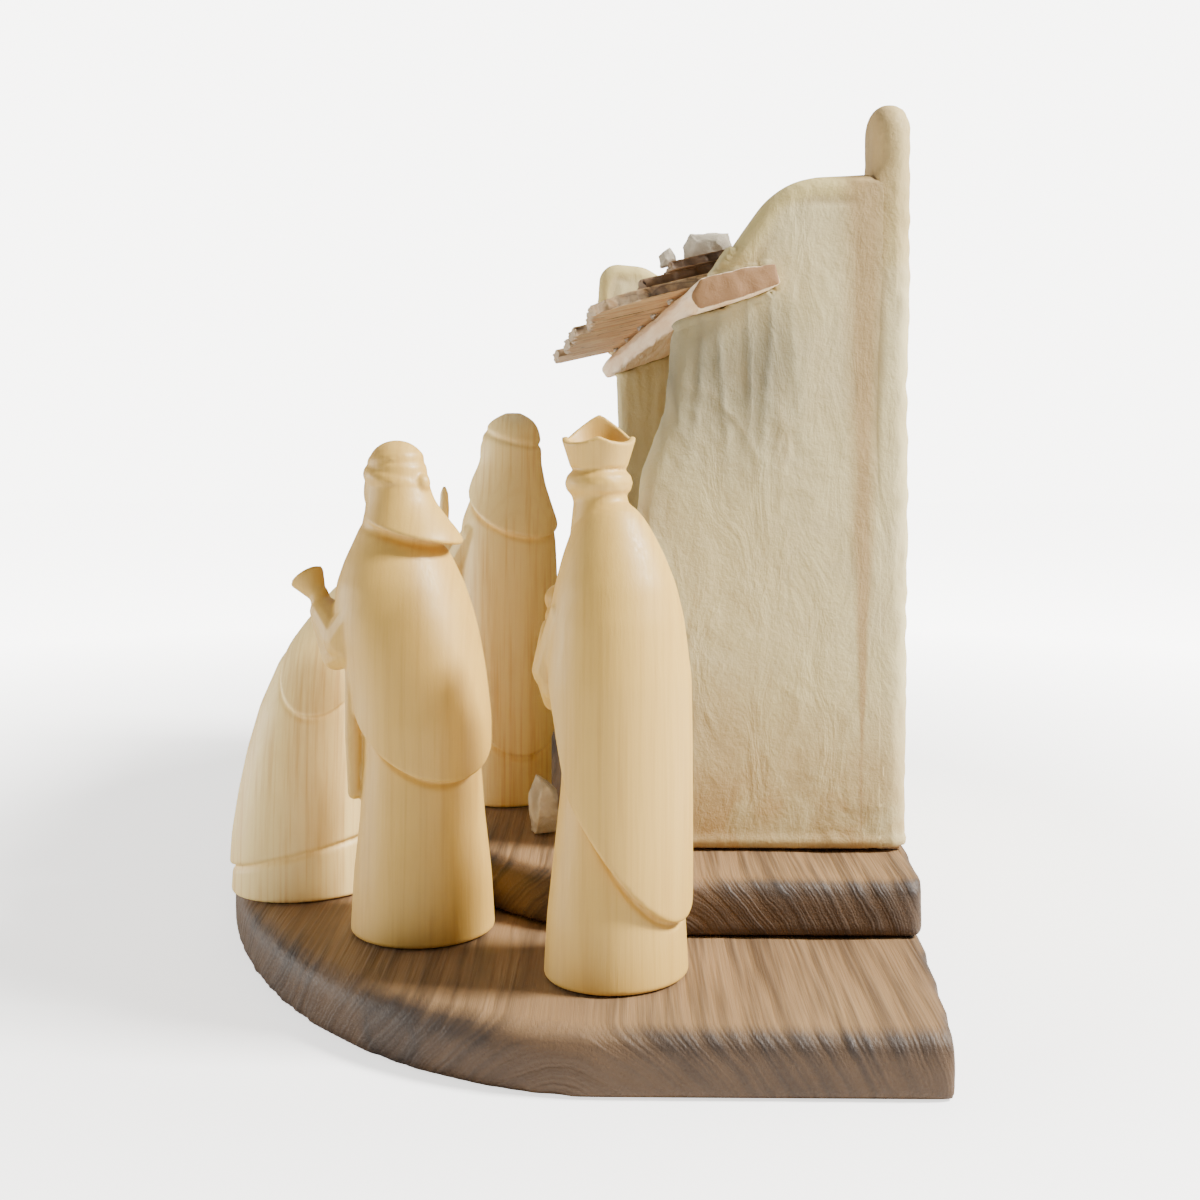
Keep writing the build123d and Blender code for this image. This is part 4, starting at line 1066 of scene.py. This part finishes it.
# %% Light and floor
def soft_light(name, place, aim, width, height, power, colour):
    data = bpy.data.lights.new(name, "AREA")
    data.shape = "RECTANGLE"
    data.size = width
    data.size_y = height
    data.energy = power
    data.color = colour
    light = bpy.data.objects.new(name, data)
    bpy.context.scene.collection.objects.link(light)
    light.location = place
    light.rotation_euler = (Vector(aim) - Vector(place)).to_track_quat("-Z", "Y").to_euler()


soft_light("right_window", (0.31, 1.1, 1.05), (0.12, 0, 0.12), 0.3, 0.3, 78, (1, 0.985, 0.955))
soft_light("left_window", (-0.05, -1.3, 0.22), (-0.05, 0, 0.2), 1.0, 0.4, 14, (1, 0.96, 0.9))
soft_light("top_fill", (-0.2, 0.0, 1.6), (0, 0, 0), 1.6, 1.6, 4, (1, 1, 1))


def linked_node(tree, kind, links, **settings):
    made = tree.nodes.new(kind)
    for key, value in settings.items():
        setattr(made, key, value)
    for key, value in links.items():
        if isinstance(value, bpy.types.NodeSocket):
            tree.links.new(value, made.inputs[key])
        else:
            made.inputs[key].default_value = value
    return made.outputs


white_to_camera = 7.0
world = bpy.data.worlds.new("studio")
world.use_nodes = True
sky = world.node_tree
direction = sky.nodes.new("ShaderNodeTexCoord").outputs["Generated"]
along_x = linked_node(sky, "ShaderNodeSeparateXYZ", {0: direction})["X"]
fade = linked_node(sky, "ShaderNodeMapRange", {
    "Value": along_x, "From Min": -0.3, "From Max": 0.9, "To Min": 0.42, "To Max": 0.17})[0]
seen = sky.nodes.new("ShaderNodeLightPath").outputs["Is Camera Ray"]
strength = linked_node(sky, "ShaderNodeMix", {0: seen, 2: fade, 3: white_to_camera})[0]
sky.nodes["Background"].inputs["Color"].default_value = (1.0, 0.985, 0.96, 1)
sky.links.new(strength, sky.nodes["Background"].inputs["Strength"])
bpy.context.scene.world = world

floor_bm = bmesh.new()
bmesh.ops.create_grid(floor_bm, x_segments=1, y_segments=1, size=4)
floor_mesh = bpy.data.meshes.new("floor")
floor_bm.to_mesh(floor_mesh)
floor_bm.free()
floor_material = bpy.data.materials.new("pale_floor")
floor_material.use_nodes = True
ground = floor_material.node_tree
floor_shader = ground.nodes["Principled BSDF"]
floor_shader.inputs["Base Color"].default_value = (0.92, 0.92, 0.92, 1)
floor_shader.inputs["Roughness"].default_value = 0.9
floor_place = ground.nodes.new("ShaderNodeTexCoord").outputs["Object"]
far_off = linked_node(ground, "ShaderNodeVectorMath", {0: floor_place}, operation="LENGTH")["Value"]
whiten = linked_node(ground, "ShaderNodeMapRange", {
    "Value": far_off, "From Min": 0.25, "From Max": 0.8, "To Min": 1.6, "To Max": 0.93 * white_to_camera})[0]
floor_seen = ground.nodes.new("ShaderNodeLightPath").outputs["Is Camera Ray"]
glow = linked_node(ground, "ShaderNodeMath", {0: whiten, 1: floor_seen}, operation="MULTIPLY")[0]
floor_shader.inputs["Emission Color"].default_value = (1.0, 0.985, 0.96, 1)
ground.links.new(glow, floor_shader.inputs["Emission Strength"])
floor_mesh.materials.append(floor_material)
floor = bpy.data.objects.new("floor", floor_mesh)
bpy.context.scene.collection.objects.link(floor)
